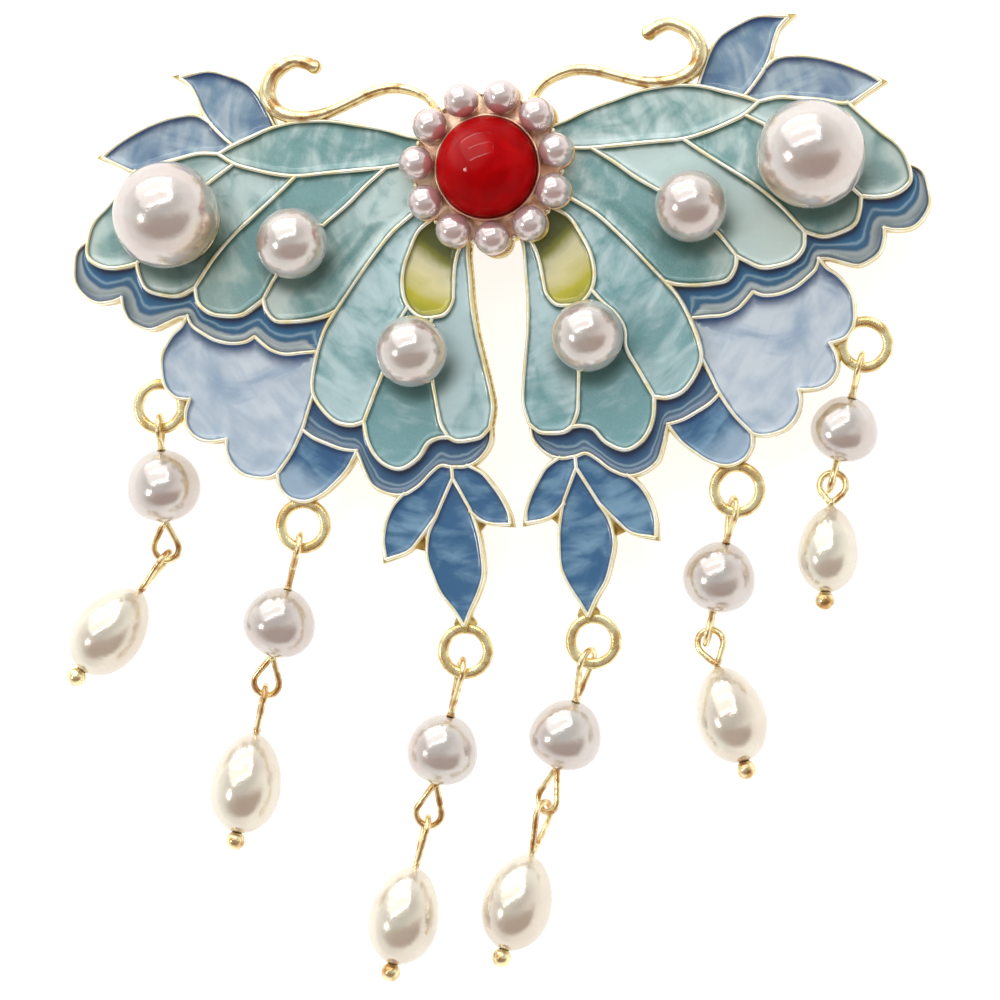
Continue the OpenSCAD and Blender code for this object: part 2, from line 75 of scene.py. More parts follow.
# %% Driving sizes in millimetres
HALF_SPAN, BODY = 36.0, 38.0
SHARE = np.array([HALF_SPAN, BODY]) / 100
LIFT, LOW_TOP, HIGH_TOP, SEAT_TOP = 4.0, 5.7, 6.3, 6.5
WALL_W = 0.6
SEED_COUNT, SEED_D, SEED_RING = 11, 3.0, 5.95
STONE_D, STONE_H = 8.4, 5.0
FIT = 0.05
BIG_D, MID_D, CUT = 9.0, 6.0, 0.75
WIRE = 0.5
RING_D, RING_HOLE, RING_T, RING_BITE = 4.7, 2.9, 0.9, 0.2
TOP_R, LOW_R, LINK_GAP = 1.15, 1.1, 0.3
BEAD_D, BEAD_FLAT, DROP_D, DROP_LEN, BALL_D = 6.2, 0.9, 5.8, 8.2, 1.6
print("enamelled wings", 2 * HALF_SPAN, "mm wide")

# %% [markdown]
# ## The drawing of a wing
#
# A cell of enamel is a closed outline, and two cells that touch share one metal wall. So the wing
# is drawn once, as the middle lines of its walls, and each cell names the lines that it runs
# along. A line is a few points, each two numbers, and a smooth curve is drawn through them.

# %% Middle lines of the walls
LINES = {
    "petal_top": "12.5 7  18.5 8.5  24 10.5  30 12  36.5 13.5  43.5 14  50 13.5  55.5 12  60 10.5 "
                 "63.5 9",
    "petal_low": "11 3.5  18 3  24 2.5  30.5 2.5  38 2.5  45.5 2.5  51 3.5  56 5  60 6.5  63.5 9",
    "leaf_up_out": "50 13.5  51.5 17  53.5 21  56 24  60 26  65 27.5  71.5 27",
    "leaf_up_in": "71.5 27  69 25  67.5 22  66.5 19  65 16  63 13.5  60 10.5",
    "leaf_side_top": "65 16  68.5 18  73.5 18  78.5 17  84 15  89 12.5  91.5 11",
    "leaf_side_low": "91.5 11  87.5 9  83.5 7  78 8  72 9  68 9.5  63.5 9",
    "lobe_1": "83.5 7  87 3  90.5 -0.5  94 -3.5  96 -7.5  96.5 -11  94.5 -13  91.5 -14  88 -14 "
              "85 -13.5",
    "vein_12": "60 6.5  67.5 2  75 -4  81 -9.5  85 -13.5",
    "lobe_2": "85 -13.5  84.5 -16.5  83 -19.5  79.5 -21  75.5 -21.5  71.5 -20",
    "vein_23": "45.5 2.5  50 -1  55.5 -5  61 -9  66.5 -14  71.5 -20",
    "lobe_3": "71.5 -20  71 -23.5  68.5 -26  64.5 -27  61 -27  58 -25.5  55.5 -24",
    "vein_34": "24 2.5  29 -1  34 -5  40 -9  46 -13.5  51.5 -18.5  55.5 -24",
    "lobe_4": "55.5 -24  55 -26.5  53 -29  49.5 -29.5  45.5 -29.5  41.5 -29  38.5 -28",
    "vein_4g": "14.5 -5.5  19 -8.5  24 -12  28.5 -16.5  33 -21.5  38.5 -28",
    "hind_outer": "38.5 -28  41.5 -32  43.5 -36.5  45 -41  45.5 -45.5  43.5 -49.5  40.5 -52.5 "
                  "37 -53.5  34 -53",
    "lime_outer": "13.5 -9.5  17.5 -12  20 -16  22 -20.5  22.5 -25  21.5 -28.5  19 -31  16 -31.5",
    "lime_inner": "16 -31.5  13 -31  11 -28.5  10.5 -25.5  10 -21.5  9 -18  7 -14",
    "seat_link": "16 -31.5  18 -35.5  20.5 -39",
    "vein_gh": "21.5 -28.5  24 -31.5  27 -34.5  28.5 -38  28.5 -42  31 -47  34 -53",
    "vein_hi": "20.5 -39  17.5 -43.5  17 -47  16.5 -51.5  16 -55  14.5 -58",
    "hind_mid": "14.5 -58  17 -58  19.5 -59  22 -62  26 -64  29.5 -63  32 -60.5  33.5 -57  34 -53",
    "hind_inner_low": "5 -56.5  7 -58.5  9.5 -59  12.5 -59  14.5 -58",
    "hind_edge": "6 -14  7 -18  7 -23.5  7 -29  6.5 -35.5  5.5 -41.5  4.5 -47  4 -52  5 -56.5",
    "rim_1": "96 -7.5  99 -9.5  100 -13  100 -16.5  98 -19.5  95.5 -21  92 -21  89.5 -20.5",
    "rim_2": "89.5 -20.5  89 -23  88 -25.5  86 -27  83 -28  79.5 -27  76.5 -26  74 -26",
    "rim_3": "74 -26  73 -28.5  70.5 -30.5  68 -32  64.5 -33  61 -33  58.5 -32",
    "rim_4": "58.5 -32  56.5 -34  54.5 -35.5  51.5 -36.5  48 -36.5  43.5 -36.5",
    "sky_1": "74 -26  75.5 -28.5  78 -30.5  80.5 -34  81 -37.5  80.5 -41  78.5 -43.5  75 -44.5",
    "sky_2": "75 -44.5  76 -47.5  76 -50.5  74 -53  71 -54  67 -54",
    "sky_3": "67 -54  67 -56.5  66 -59.5  63.5 -62  60 -63  57.5 -63  55.5 -62.5",
    "sky_edge": "45.5 -45.5  47.5 -50  49 -53.5  52 -58.5  55.5 -62.5",
    "low_rim": "5 -56.5  5.5 -60  8 -63  11 -64.5  14.5 -64.5  17 -64  19.5 -65.5  22.5 -68 "
               "26 -69.5  29.5 -69  33 -67  34.5 -64  35.5 -61  36.5 -59",
    "low_rim_up": "36.5 -59  40 -58.5  43.5 -57  46.5 -55.5  49 -53.5",
    "petal_small": "55.5 -62.5  55 -65.5  53 -68  49.5 -69  46 -68  43 -66  39.5 -63  36.5 -59",
    "tail_stem": "14.5 -64.5  14.5 -67",
    "tail_mid_in": "14.5 -67  12.5 -71  11 -74.5  10 -79  9.5 -83.5  9.5 -88.5  11 -92.5  13 -96 "
                   "14.5 -99.5",
    "tail_mid_out": "14.5 -67  16.5 -70.5  19 -75  21 -79  21.5 -84  20.5 -88  19 -92  16.5 -95.5 "
                    "14.5 -99.5",
    "tail_out_top": "26 -69.5  28.5 -72  30.5 -75.5  31.5 -79.5  31.5 -83.5",
    "tail_out_low": "31.5 -83.5  26.5 -82  23 -79  19 -75",
    "tail_in_top": "11 -64.5  8 -66.5  6 -69  4 -72  2.5 -75.5  2 -78",
    "tail_in_low": "2 -78  5.5 -77.5  8.5 -76.5  11 -74.5",
}
STEPS = 5


def points_of(text, columns=2):
    """The points that a text of numbers gives, one row each."""
    return np.array(text.split(), float).reshape(-1, columns)


def smooth(points, steps=STEPS):
    """A line through points: between two of them, half of the cubic
    2b + (c-a)t + (2a-5b+4c-d)t^2 + (3b-a-3c+d)t^3 of the four points a, b, c, d around."""
    p = np.asarray(points, float)
    q = np.vstack([2 * p[0] - p[1], p, 2 * p[-1] - p[-2]])
    t = (np.arange(steps) / steps)[None, :, None]
    a, b, c, d = (q[k:k + len(p) - 1, None, :] for k in range(4))
    bend = 2 * b + (c - a) * t + (2 * a - 5 * b + 4 * c - d) * t**2 + (3 * b - a - 3 * c + d) * t**3
    return np.vstack([bend.reshape(-1, p.shape[1]) / 2, p[-1]])


WALLS = {name: smooth(points_of(text) * SHARE) for name, text in LINES.items()}
print(len(WALLS), "lines,", sum(map(len, WALLS.values())), "points")

# %% [markdown]
# ## Cells
#
# Each cell is written as the walks that close it. A minus sign walks a line backwards, and two
# numbers after a name take the stretch between two of its points. Green cells stand on raised
# rims. Some cells were filled with more of the white than others, which is kept as a pair of
# numbers for each cell, for the left wing and the right one.

# %% Cells by colour
CELLS = {
    "forewing": ["petal_top -petal_low",
                 "leaf_side_low:6:2 lobe_1 -vein_12 petal_low:8:9",
                 "vein_12 lobe_2 -vein_23 petal_low:5:8",
                 "vein_23 lobe_3 -vein_34 petal_low:2:5",
                 "vein_34 lobe_4 -vein_4g petal_low:0:2"],
    "hindwing": ["vein_4g hind_outer -vein_gh lime_outer:5:0",
                 "vein_gh -hind_mid -vein_hi -seat_link lime_outer:7:5",
                 "-lime_inner seat_link vein_hi -hind_inner_low -hind_edge"],
    "lime": ["lime_outer lime_inner"],
    "border": ["rim_1 rim_2 rim_3 rim_4 hind_outer:2:0 -lobe_4 -lobe_3 -lobe_2 lobe_1:9:4",
               "low_rim low_rim_up sky_edge:2:0 hind_outer:4:8 -hind_mid -hind_inner_low"],
    "sky": ["-rim_4 -rim_3 sky_1 sky_2 sky_3 -sky_edge hind_outer:4:2"],
    "leaves": ["leaf_up_out leaf_up_in petal_top:8:6",
               "leaf_side_top leaf_side_low petal_top:9:8 leaf_up_in:6:4"],
    "tail": ["low_rim_up sky_edge:2:4 petal_small",
             "tail_mid_in -tail_mid_out",
             "low_rim:4:8 tail_out_top tail_out_low tail_mid_out:2:0 -tail_stem",
             "low_rim:4:3 tail_in_top tail_in_low tail_mid_in:2:0 -tail_stem"],
}
RAISED = ("forewing", "hindwing", "lime")
TONES = {"forewing": ((0.47, 0.55), (0.64, 0.74), (0.56, 0.47), (0.37, 0.84), (0.59, 0.46)),
         "hindwing": ((0.54, 0.48), (0.41, 0.4), (0.66, 0.55)),
         "leaves": ((0.45, 0.41), (0.55, 0.58))}
PLAIN_TONE = (0.48, 0.53)


def stretch_of(word):
    """The line that a walk such as -lobe_3 or petal_low:8:9 names, and its two ends as indices."""
    name, *ends = word.lstrip("-").split(":")
    return name, *((int(e) * STEPS for e in ends) if ends else (0, len(WALLS[name]) - 1))


def walk(word):
    """The points of one walk."""
    name, a, b = stretch_of(word)
    line = WALLS[name][a:b + 1] if b > a else WALLS[name][b:a + 1][::-1]
    return line[::-1] if word[0] == "-" else line


def outline(cell):
    """A cell's closed outline without doubled points, turned to run anticlockwise."""
    pts = np.vstack([walk(w) for w in cell.split()])
    far = np.linalg.norm(pts - np.roll(pts, 1, axis=0), axis=1) > 1e-6
    pts = pts[far]
    x, y = pts.T
    area = np.sum(x * np.roll(y, -1) - np.roll(x, -1) * y) / 2
    return pts if area > 0 else pts[::-1]


print("cells on a wing:", sum(map(len, CELLS.values())))

# %% [markdown]
# ## The camera
#
# The hairpin lies face up and the camera looks almost straight down on it, turned a little to the
# right and tilted by eight degrees, so the outer sides of the wings show along their lower right
# edges. Three turns, in radians, and a shift put the drawing where the photograph has it.

# %% Camera at the photograph's angle
TURNS = (-0.0329153, -0.1385387, 0.0833061)
AIM = Vector((0.2369, -18.8289, 319.576))
MIDDLE = Vector((0, -8.85, 6.3))
ZOOM = 3.83473
spin = Matrix.Rotation(TURNS[2], 3, "Z") @ Matrix.Rotation(TURNS[1], 3, "Y")
spin = spin @ Matrix.Rotation(TURNS[0], 3, "X")
lens = bpy.data.cameras.new("camera")
lens.sensor_width = 36
lens.lens = ZOOM * lens.sensor_width
lens.clip_start = 0.01
camera = bpy.data.objects.new("camera", lens)
back = spin.transposed()
camera.matrix_world = Matrix.Translation((back @ AIM + MIDDLE) * MM) @ back.to_4x4()
bpy.context.collection.objects.link(camera)
bpy.context.scene.camera = camera
print("camera at", [round(v, 4) for v in camera.location])

# %% [markdown]
# ## Mixing finishes
#
# A finish is a small graph of nodes. Two short classes let the graph be written as it is thought
# of: a socket that takes Python's operators, and a finish that adds any other node in one call.


# %% Sockets with operators
def lin(r, g, b):
    """A colour of 0 to 255 as the light that it stands for: ((c + 0.055) / 1.055)^2.4."""
    c = np.array([r, g, b]) / 255
    return (*np.where(c <= 0.04045, c / 12.92, ((c + 0.055) / 1.055) ** 2.4), 1.0)


class Sock:
    """One value or colour of a finish. An operator on it adds a Math node."""

    def __init__(self, finish, socket):
        self.finish, self.socket = finish, socket

    def math(self, operation, a, b):
        return self.finish.node("Math", {"operation": operation}, {0: a, 1: b})

    def __add__(self, other): return self.math("ADD", self, other)
    def __radd__(self, other): return self.math("ADD", other, self)
    def __sub__(self, other): return self.math("SUBTRACT", self, other)
    def __rsub__(self, other): return self.math("SUBTRACT", other, self)
    def __mul__(self, other): return self.math("MULTIPLY", self, other)
    def __rmul__(self, other): return self.math("MULTIPLY", other, self)

    def over(self, low, high):
        """0 below low, 1 above high, and a soft step between; low may be the larger one."""
        return self.finish.node("MapRange", {"interpolation_type": "SMOOTHSTEP"},
                                {0: self, 1: low, 2: high})


print("half grey stands for", round(float(lin(128, 128, 128)[0]), 3), "of white's light")


# %% A finish that adds nodes
class Finish:
    """A material that is being mixed."""

    def __init__(self, name, store="materials"):
        self.material = getattr(bpy.data, store).new(name)
        self.material.use_nodes = True
        self.tree = self.material.node_tree
        self.tree.nodes.clear()

    def node(self, kind, settings=None, inputs=None, out=0):
        """Adds one node. Its settings come first, a ramp's stops among them, then its sockets."""
        n = self.tree.nodes.new("ShaderNode" + kind)
        for key, value in (settings or {}).items():
            if key == "stops":
                ramp = n.color_ramp.elements
                while len(ramp) < len(value):
                    ramp.new(0.5)
                for stop, (place, colour) in zip(ramp, value):
                    stop.position, stop.color = place, colour
            else:
                setattr(n, key, value)
        for key, value in (inputs or {}).items():
            if isinstance(value, Sock):
                self.tree.links.new(value.socket, n.inputs[key])
            else:
                n.inputs[key].default_value = value
        return Sock(self, n.outputs[out]) if n.outputs else None

    def place(self):
        """Where a point is on the object, in millimetres."""
        where = self.node("TexCoord", out="Object")
        return self.node("VectorMath", {"operation": "SCALE"}, {0: where, "Scale": 1000.0})

    def stretch(self, where, x, y, z):
        return self.node("VectorMath", {"operation": "MULTIPLY"}, {0: where, 1: (x, y, z)})

    def noise(self, where, scale, detail, bend=0.0):
        return self.node("TexNoise", {}, {"Vector": where, "Scale": scale, "Detail": detail,
                                          "Distortion": bend})

    def mark(self, name, out="Fac"):
        """A number or a vector that the mesh carries at each of its points."""
        return self.node("Attribute", {"attribute_name": name}, out=out)

    def mix(self, share, a, b):
        return self.node("Mix", {"data_type": "RGBA"}, {0: share, 6: a, 7: b}, out=2)

    def bump(self, height, strength, reach):
        return self.node("Bump", {}, {"Height": height, "Strength": strength, "Distance": reach})

    def done(self, **sockets):
        """Puts the surface together and returns the material."""
        names = {k.replace("_", " ").title().replace("Ior", "IOR"): v for k, v in sockets.items()}
        shader = self.node("BsdfPrincipled", {}, names)
        self.node("OutputMaterial", {}, {"Surface": shader})
        return self.material


print("a finish has", [word for word in vars(Finish) if word[0] != "_"])

# %% [markdown]
# ## Making meshes
#
# Every surface is worked out as a grid of points, or as a section carried along a path. Grids are
# whole numpy arrays, so no loop runs over single points. A grid may come out inside out, so its
# volume is measured and its faces are turned if that is below zero.


# %% Grids
def grid(rows, cols, wrap_rows=False):
    """Quads of a grid of points kept row by row. Each row closes, and the rows may too."""
    i = np.arange(rows if wrap_rows else rows - 1)[:, None]
    j = np.arange(cols)[None, :]
    k, m = (i + 1) % rows, (j + 1) % cols
    return np.stack([i * cols + j, i * cols + m, k * cols + m, k * cols + j], -1).reshape(-1, 4)


def volume(points, quads):
    """A sixth of the sum of a . (b x c) over the triangles: below zero when faces look inwards."""
    a, b, c, d = (points[quads[:, k]] for k in range(4))
    return (np.einsum("ij,ij->", a, np.cross(b, c)) + np.einsum("ij,ij->", a, np.cross(c, d))) / 6


def outwards(points, quads):
    return points, quads if volume(points, quads) > 0 else quads[:, ::-1]


def join(parts):
    """Several meshes of points and quads as one."""
    starts = np.cumsum([0] + [len(p) for p, _ in parts[:-1]])
    return np.vstack([p for p, _ in parts]), np.vstack([q + s for (_, q), s in zip(parts, starts)])


print("a grid of 3 by 8 points has", len(grid(3, 8)), "faces")

# %% Sweeps and lathes
UP = np.array([0.0, 0.0, 1.0])
ENDS = 4


def along(path, closed=False):
    """Unit directions of a path at its points: the next point less the one before."""
    if closed:
        d = np.roll(path, -1, axis=0) - np.roll(path, 1, axis=0)
    else:
        d = np.gradient(path, axis=0)
    return d / np.maximum(np.linalg.norm(d, axis=1, keepdims=True), 1e-9)


def sweep(path, section, wide=1.0, high=1.0, closed=False):
    """Section (a, b) carried along a path: point = path + wide*a*across + high*b*up, where across
    is direction x up. Open ends close on the middles of the path's first and last sections."""
    across = np.cross(along(path, closed), UP)
    across /= np.maximum(np.linalg.norm(across, axis=1, keepdims=True), 1e-9)
    wide = np.broadcast_to(wide, len(path))[:, None, None]
    high = np.broadcast_to(high, len(path))[:, None, None]
    a, b = section[:, 0][None, :, None], section[:, 1][None, :, None]
    rows = path[:, None] + wide * a * across[:, None] + high * b * UP
    if not closed:
        tips = [np.repeat(rows[k].mean(0)[None, None], rows.shape[1], 1) for k in (0, -1)]
        rows = np.concatenate([tips[0], rows, tips[1]])
    return outwards(rows.reshape(-1, 3), grid(rows.shape[0], rows.shape[1], wrap_rows=closed))


def rounded(path, half):
    """A path whose two ends run on by a half round of that radius, and the share of the width at
    each point: at the angle t the path is half*sin(t) further on and the share is cos(t)."""
    t = np.linspace(0, math.pi / 2, ENDS + 1)[1:]
    d = along(path)
    head = path[0] - d[0] * half * np.sin(t)[::-1, None]
    tail = path[-1] + d[-1] * half * np.sin(t)[:, None]
    share = np.concatenate([np.cos(t)[::-1], np.ones(len(path)), np.cos(t)])
    return np.vstack([head, path, tail]), np.maximum(share, 0.02)


def lathe(profile, turns):
    """A profile of (x, radius) turned about X by t: (x, r cos t, r sin t). The radius is nought at
    both its ends."""
    t = np.arange(turns) * 2 * math.pi / turns
    x, r = profile[:, 0][:, None], profile[:, 1][:, None]
    rows = np.stack([x + 0 * t, r * np.cos(t), r * np.sin(t)], -1)
    return outwards(rows.reshape(-1, 3), grid(len(profile), turns))


def wander(s, seed, size):
    """A smooth wandering number along s, within -size and size: four sines of growing pitch."""
    rng = np.random.default_rng(seed)
    pitch = np.array([0.31, 0.57, 0.93, 1.49])
    phase = rng.uniform(0, 2 * math.pi, 4)
    share = np.array([0.4, 0.3, 0.2, 0.1])
    return size * (np.sin(s[..., None] * pitch * 2 + phase) * share).sum(-1)


half_turn = np.linspace(0, math.pi, 21)
ball_profile = np.column_stack([-np.cos(half_turn), np.sin(half_turn)])
print("a turned ball of radius 1 holds", round(float(volume(*lathe(ball_profile, 32))), 3))

# %% [markdown]
# ## Making objects
#
# One helper turns finished arrays into an object: points that coincide are merged, so that poles
# and seams close, numbers for the finishes are kept at the points, and the piece is tied to the
# frame. A second helper copies a packed node, which is loose triangles until it is merged.


# %% The makers of objects
def merged(mesh, near, thin=None, flat=None):
    """Merges the points of a mesh that lie nearer than that, in metres. Edges shorter than thin and
    edges between faces that turn less than flat, in degrees, are dissolved where asked."""
    work = bmesh.new()
    work.from_mesh(mesh)
    bmesh.ops.remove_doubles(work, verts=work.verts, dist=near)
    if thin:
        bmesh.ops.dissolve_degenerate(work, edges=work.edges, dist=thin)
    if flat:
        bmesh.ops.dissolve_limit(work, angle_limit=math.radians(flat), verts=work.verts,
                                 edges=work.edges)
    work.to_mesh(mesh)
    work.free()
    return mesh


def tie(name, mesh, nodes=()):
    """An object of a finished mesh that rides on the frame and stands for those nodes."""
    piece = bpy.data.objects.new(name, mesh)
    bpy.context.collection.objects.link(piece)
    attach(piece, "root")
    if nodes:
        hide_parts(*nodes)
    return piece


def dress(name, shape, finish, nodes=(), marks=None, sharp=None, merge=True):
    """An object from points in millimetres and faces, with its finish and its marks."""
    points, faces = shape
    faces = faces if isinstance(faces, list) else faces.tolist()
    mesh = bpy.data.meshes.new(name)
    mesh.from_pydata((points * MM).tolist(), [], faces)
    for key, values in (marks or {}).items():
        kind, field = ("FLOAT_VECTOR", "vector") if values.ndim == 2 else ("FLOAT", "value")
        layer = mesh.attributes.new(key, kind, "POINT")
        layer.data.foreach_set(field, values.astype(np.float32).ravel())
    if merge:
        merged(mesh, 1e-7, thin=1e-8)
    mesh.shade_smooth()
    if sharp:
        mesh.set_sharp_from_angle(angle=math.radians(sharp))
    mesh.materials.append(finish)
    return tie(name, mesh, nodes)


def copy_of(node, flat=None):
    """A packed node's mesh, copied and merged, without its material."""
    mesh = merged(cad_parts[node].data.copy(), 1e-6, flat=flat)
    mesh.materials.clear()
    return mesh


# %% [markdown]
# ## Gold
#
# The casting is plated in pale gold. Plating isn't a mirror: fine pits and rub marks break it up,
# and thin plating looks redder in the hollows. Noise at two sizes drives the roughness and a
# slight bump. The wires are yellower and glossier than the rims. The rims and the claws are given
# a nearly cream tint, paler than the plating is, as painted light on their lit tops, and the
# casting's sides a darker, yellower copy of it as painted shade. The flower's seat and the stone's
# band are tinted pink as a painted reflection of the red stone.


# %% Gold plate
def gold(name, rough, tint, deep, metal=0.95, pit=0.5):
    """Plating of two tones, tint and deep in clouds, with pits of that strength."""
    f = Finish(name)
    where = f.place()
    cloud = f.noise(where, 0.9, 4.0, 0.4)
    grain = f.noise(where, 9.0, 5.0)
    colour = f.mix(cloud.over(0.42, 0.66), lin(*tint), lin(*deep))
    gloss = rough * 0.7 + grain * (0.5 * rough) + cloud * (0.25 * rough)
    return f.done(base_color=colour, metallic=metal, roughness=gloss,
                  normal=f.bump(grain * 0.3 + cloud, pit, 0.00006))


# A nearly cream tint on rims and claws: painted light on the metal's lit tops.
LIT_GOLD = gold("lit gold plate", 0.3, (255, 254, 236), (250, 240, 196), metal=0.85)
WIRE_GOLD = gold("wire gold", 0.2, (248, 234, 186), (198, 154, 98), metal=0.97)
RING_GOLD = gold("ring gold", 0.24, (252, 240, 188), (222, 188, 124), metal=0.97)
# A darker, yellower copy of the plate for the casting's sides: painted shade.
SHADED_SIDE_GOLD = gold("shaded side gold", 0.3, (226, 204, 130), (196, 166, 92))
# A pink tint on the seat: painted reflection of the red stone.
SEAT_GOLD_RED_REFLECTION = gold("seat gold red reflection", 0.35, (250, 216, 186), (238, 178, 146))
FORK_GOLD = gold("fork plate", 0.3, (222, 200, 142), (206, 178, 116), metal=1.0, pit=0.25)
print("finishes", [m.name for m in (LIT_GOLD, WIRE_GOLD, RING_GOLD, SHADED_SIDE_GOLD, SEAT_GOLD_RED_REFLECTION, FORK_GOLD)])

# %% [markdown]
# ## The casting
#
# The packed frame gives every wall, floor and ring its true place, but its edges are sharp. The
# real rims are worn round by casting and polishing. So the copy of the frame has the tops of its
# walls lowered a little, and a round ridge is carried along every wall's middle line over them.
# Its rings are slimmed too, to hide inside the round ones that come later.

# %% Where the pearls and the rings sit
SIDES = (-1, 1)
SEATS = {"big": (75, -4.5), "upper": (46.5, -13), "lower": (20.5, -39)}
RING_SEATS = ((77, -45.5, 0), (50.5, -69, -85), (14.5, -99.5, -85))
# Swings and rolls are in degrees, reaches in loop radii, slack in millimetres, and bead and drop
# are the shares of the pearls' full sizes.
Strand = namedtuple("Strand", "side ring swing top low slack head_swing bail "
                              "top_roll low_roll bail_roll bead drop")
STRANDS = [Strand(*row) for row in points_of("""
    -1 0 -5 1.45 2 0 -40 2.5 85 5 90 1.02 1
    -1 1 -20 3.1 2.1 0 -14 2.45 75 0 75 0.98 1.02
    -1 2 -19 3.2 2.35 0 -17 2.65 72 0 75 0.98 1
    1 2 -22 2.9 2.5 0 -20 2.9 -72 35 115 0.98 0.98
    1 1 -17 2.2 1.5 0.4 12 1.7 70 90 0 0.98 0.98
    1 0 -19 2.2 1.35 0.8 -8 1.35 90 90 0 0.9 0.86""", 13).tolist()]


def side_name(name, side):
    return name + ("_left" if side < 0 else "_right")


def ring_at(strand):
    """The middle of a strand's ring, just outside the wall that it is cast on."""
    x, y, way = RING_SEATS[int(strand.ring)]
    out, way = RING_D / 2 - RING_BITE, math.radians(way)
    x, y = np.array([x, y]) * SHARE + [out * math.cos(way), out * math.sin(way)]
    return np.array([strand.side * x, y, LIFT + RING_T / 2])


RINGS = np.array([ring_at(s) for s in STRANDS])
print("rings at", RINGS[:, :2].round(1).tolist())

# %% The frame's own walls, lowered a little
RIM_DROP, SEAT_DROP, BAND_R = 0.28, 0.45, 7.46
RING_SLIM, RING_THIN = 0.2, 0.6
SEAT_R, SEAT_FLOOR = 7.0, 6.4
LEVEL, ROUND_OFF = 0.01, 0.03
casting_mesh = copy_of("frame")
co = np.empty(len(casting_mesh.vertices) * 3)
casting_mesh.vertices.foreach_get("co", co)
co = co.reshape(-1, 3) * 1000
away = np.hypot(co[:, 0], co[:, 1])
co[np.abs(co[:, 2] - HIGH_TOP) < LEVEL, 2] -= RIM_DROP
co[np.abs(co[:, 2] - LOW_TOP) < LEVEL, 2] -= RIM_DROP
co[(np.abs(co[:, 2] - SEAT_TOP) < LEVEL) & (away > BAND_R), 2] -= SEAT_DROP
for middle in RINGS:
    ray = co[:, :2] - middle[:2]
    r = np.linalg.norm(ray, axis=1)
    outer = np.abs(r - RING_D / 2) < ROUND_OFF
    inner = np.abs(r - RING_HOLE / 2) < ROUND_OFF
    on_ring = (outer | inner) & (co[:, 2] < LIFT + RING_T + LEVEL)
    shift = np.where(outer, -RING_SLIM, RING_SLIM)[:, None] * ray / np.maximum(r, 1e-6)[:, None]
    co[on_ring, :2] += shift[on_ring]
    co[on_ring, 2] = middle[2] + (co[on_ring, 2] - middle[2]) * RING_THIN
casting_mesh.vertices.foreach_set("co", (co / 1000).ravel())
casting_mesh.shade_smooth()
casting_mesh.set_sharp_from_angle(angle=math.radians(32))
# The casting's sides take the darker copy of the plate as painted shade.
casting_mesh.materials.append(SHADED_SIDE_GOLD)
# The seat takes the pink tint, a painted reflection of the red stone.
casting_mesh.materials.append(SEAT_GOLD_RED_REFLECTION)
middles = np.empty(len(casting_mesh.polygons) * 3)
casting_mesh.polygons.foreach_get("center", middles)
middles = middles.reshape(-1, 3) * 1000
in_seat = (np.hypot(middles[:, 0], middles[:, 1]) < SEAT_R) & (middles[:, 2] > SEAT_FLOOR)
casting_mesh.polygons.foreach_set("material_index", in_seat.astype(np.int32))
tie("casting", casting_mesh, ["frame"])
print("casting", len(casting_mesh.polygons), "faces")

# %% [markdown]
# ## Ridges
#
# A ridge is a half round section carried along a wall's middle line. At the outside of the wing
# only one side of a wall has enamel, and there the ridge is narrower and stands at the wall's outer
# side. So each line first asks on which side of it a cell lies.

# %% Which side of a wall is open
def within(points, ring):
    """Whether a point lies inside a ring: a ray from it crosses the ring an odd number of times."""
    a, b = ring, np.roll(ring, -1, axis=0)
    y = points[:, 1][:, None]
    cross = (a[:, 1] > y) != (b[:, 1] > y)
    rise = np.where(np.abs(b[:, 1] - a[:, 1]) < 1e-12, 1e-12, b[:, 1] - a[:, 1])
    x = a[:, 0] + (y - a[:, 1]) * (b[:, 0] - a[:, 0]) / rise
    return (cross & (points[:, 0][:, None] < x)).sum(1) % 2 == 1


def normals(line, closed=False):
    """Unit normals to the left of a flat line: its direction turned by a quarter."""
    d = along(line, closed)
    return np.column_stack([-d[:, 1], d[:, 0]])


RINGS_FLAT = [outline(cell) for group in CELLS.values() for cell in group]
PROBE, SPAN = 0.4, 4


def in_a_cell(points):
    return np.any([within(points, ring) for ring in RINGS_FLAT], axis=0)


def evened(values, closed=False):
    """The running mean over a few points either way."""
    padded = np.pad(values.astype(float), SPAN, mode="wrap" if closed else "edge")
    return np.convolve(padded, np.ones(2 * SPAN + 1) / (2 * SPAN + 1), mode="valid")


def open_side(line):
    """Where a wall has a cell on one side only: 1 if its left is open, -1 if its right is."""
    n = normals(line) * PROBE
    left, right = in_a_cell(line + n), in_a_cell(line - n)
    return evened(np.where(left == right, 0, np.where(left, -1, 1)))


print("open along", round(float(np.abs(open_side(WALLS["rim_1"])).mean()), 2), "of the first rim")

# %% Round ridges along the walls
ARCH = np.linspace(math.pi, 0, 9)
RIDGE = np.stack([np.cos(ARCH), np.sin(ARCH) - 1], 1)
RIDGE_W, RIDGE_H, EDGE_W = 0.21, 0.3, 0.17
RIDGE_END, UNEVEN_Z, UNEVEN_W = 0.1, 0.012, 0.07


def raised_points():
    """For each line, which of its points some raised cell runs along."""
    high = {name: np.zeros(len(line), bool) for name, line in WALLS.items()}
    for group in RAISED:
        for word in " ".join(CELLS[group]).split():
            name, *ends = stretch_of(word)
            high[name][min(ends):max(ends) + 1] = True
    return high


def runs(flags):
    """The stretches of a line that lie at one height: first point, last point and the flag."""
    step = flags[:-1] & flags[1:]
    cuts = np.flatnonzero(np.diff(step)) + 1
    edges = [0, *cuts, len(step)]
    return [(a, b, bool(step[a])) for a, b in zip(edges[:-1], edges[1:])]


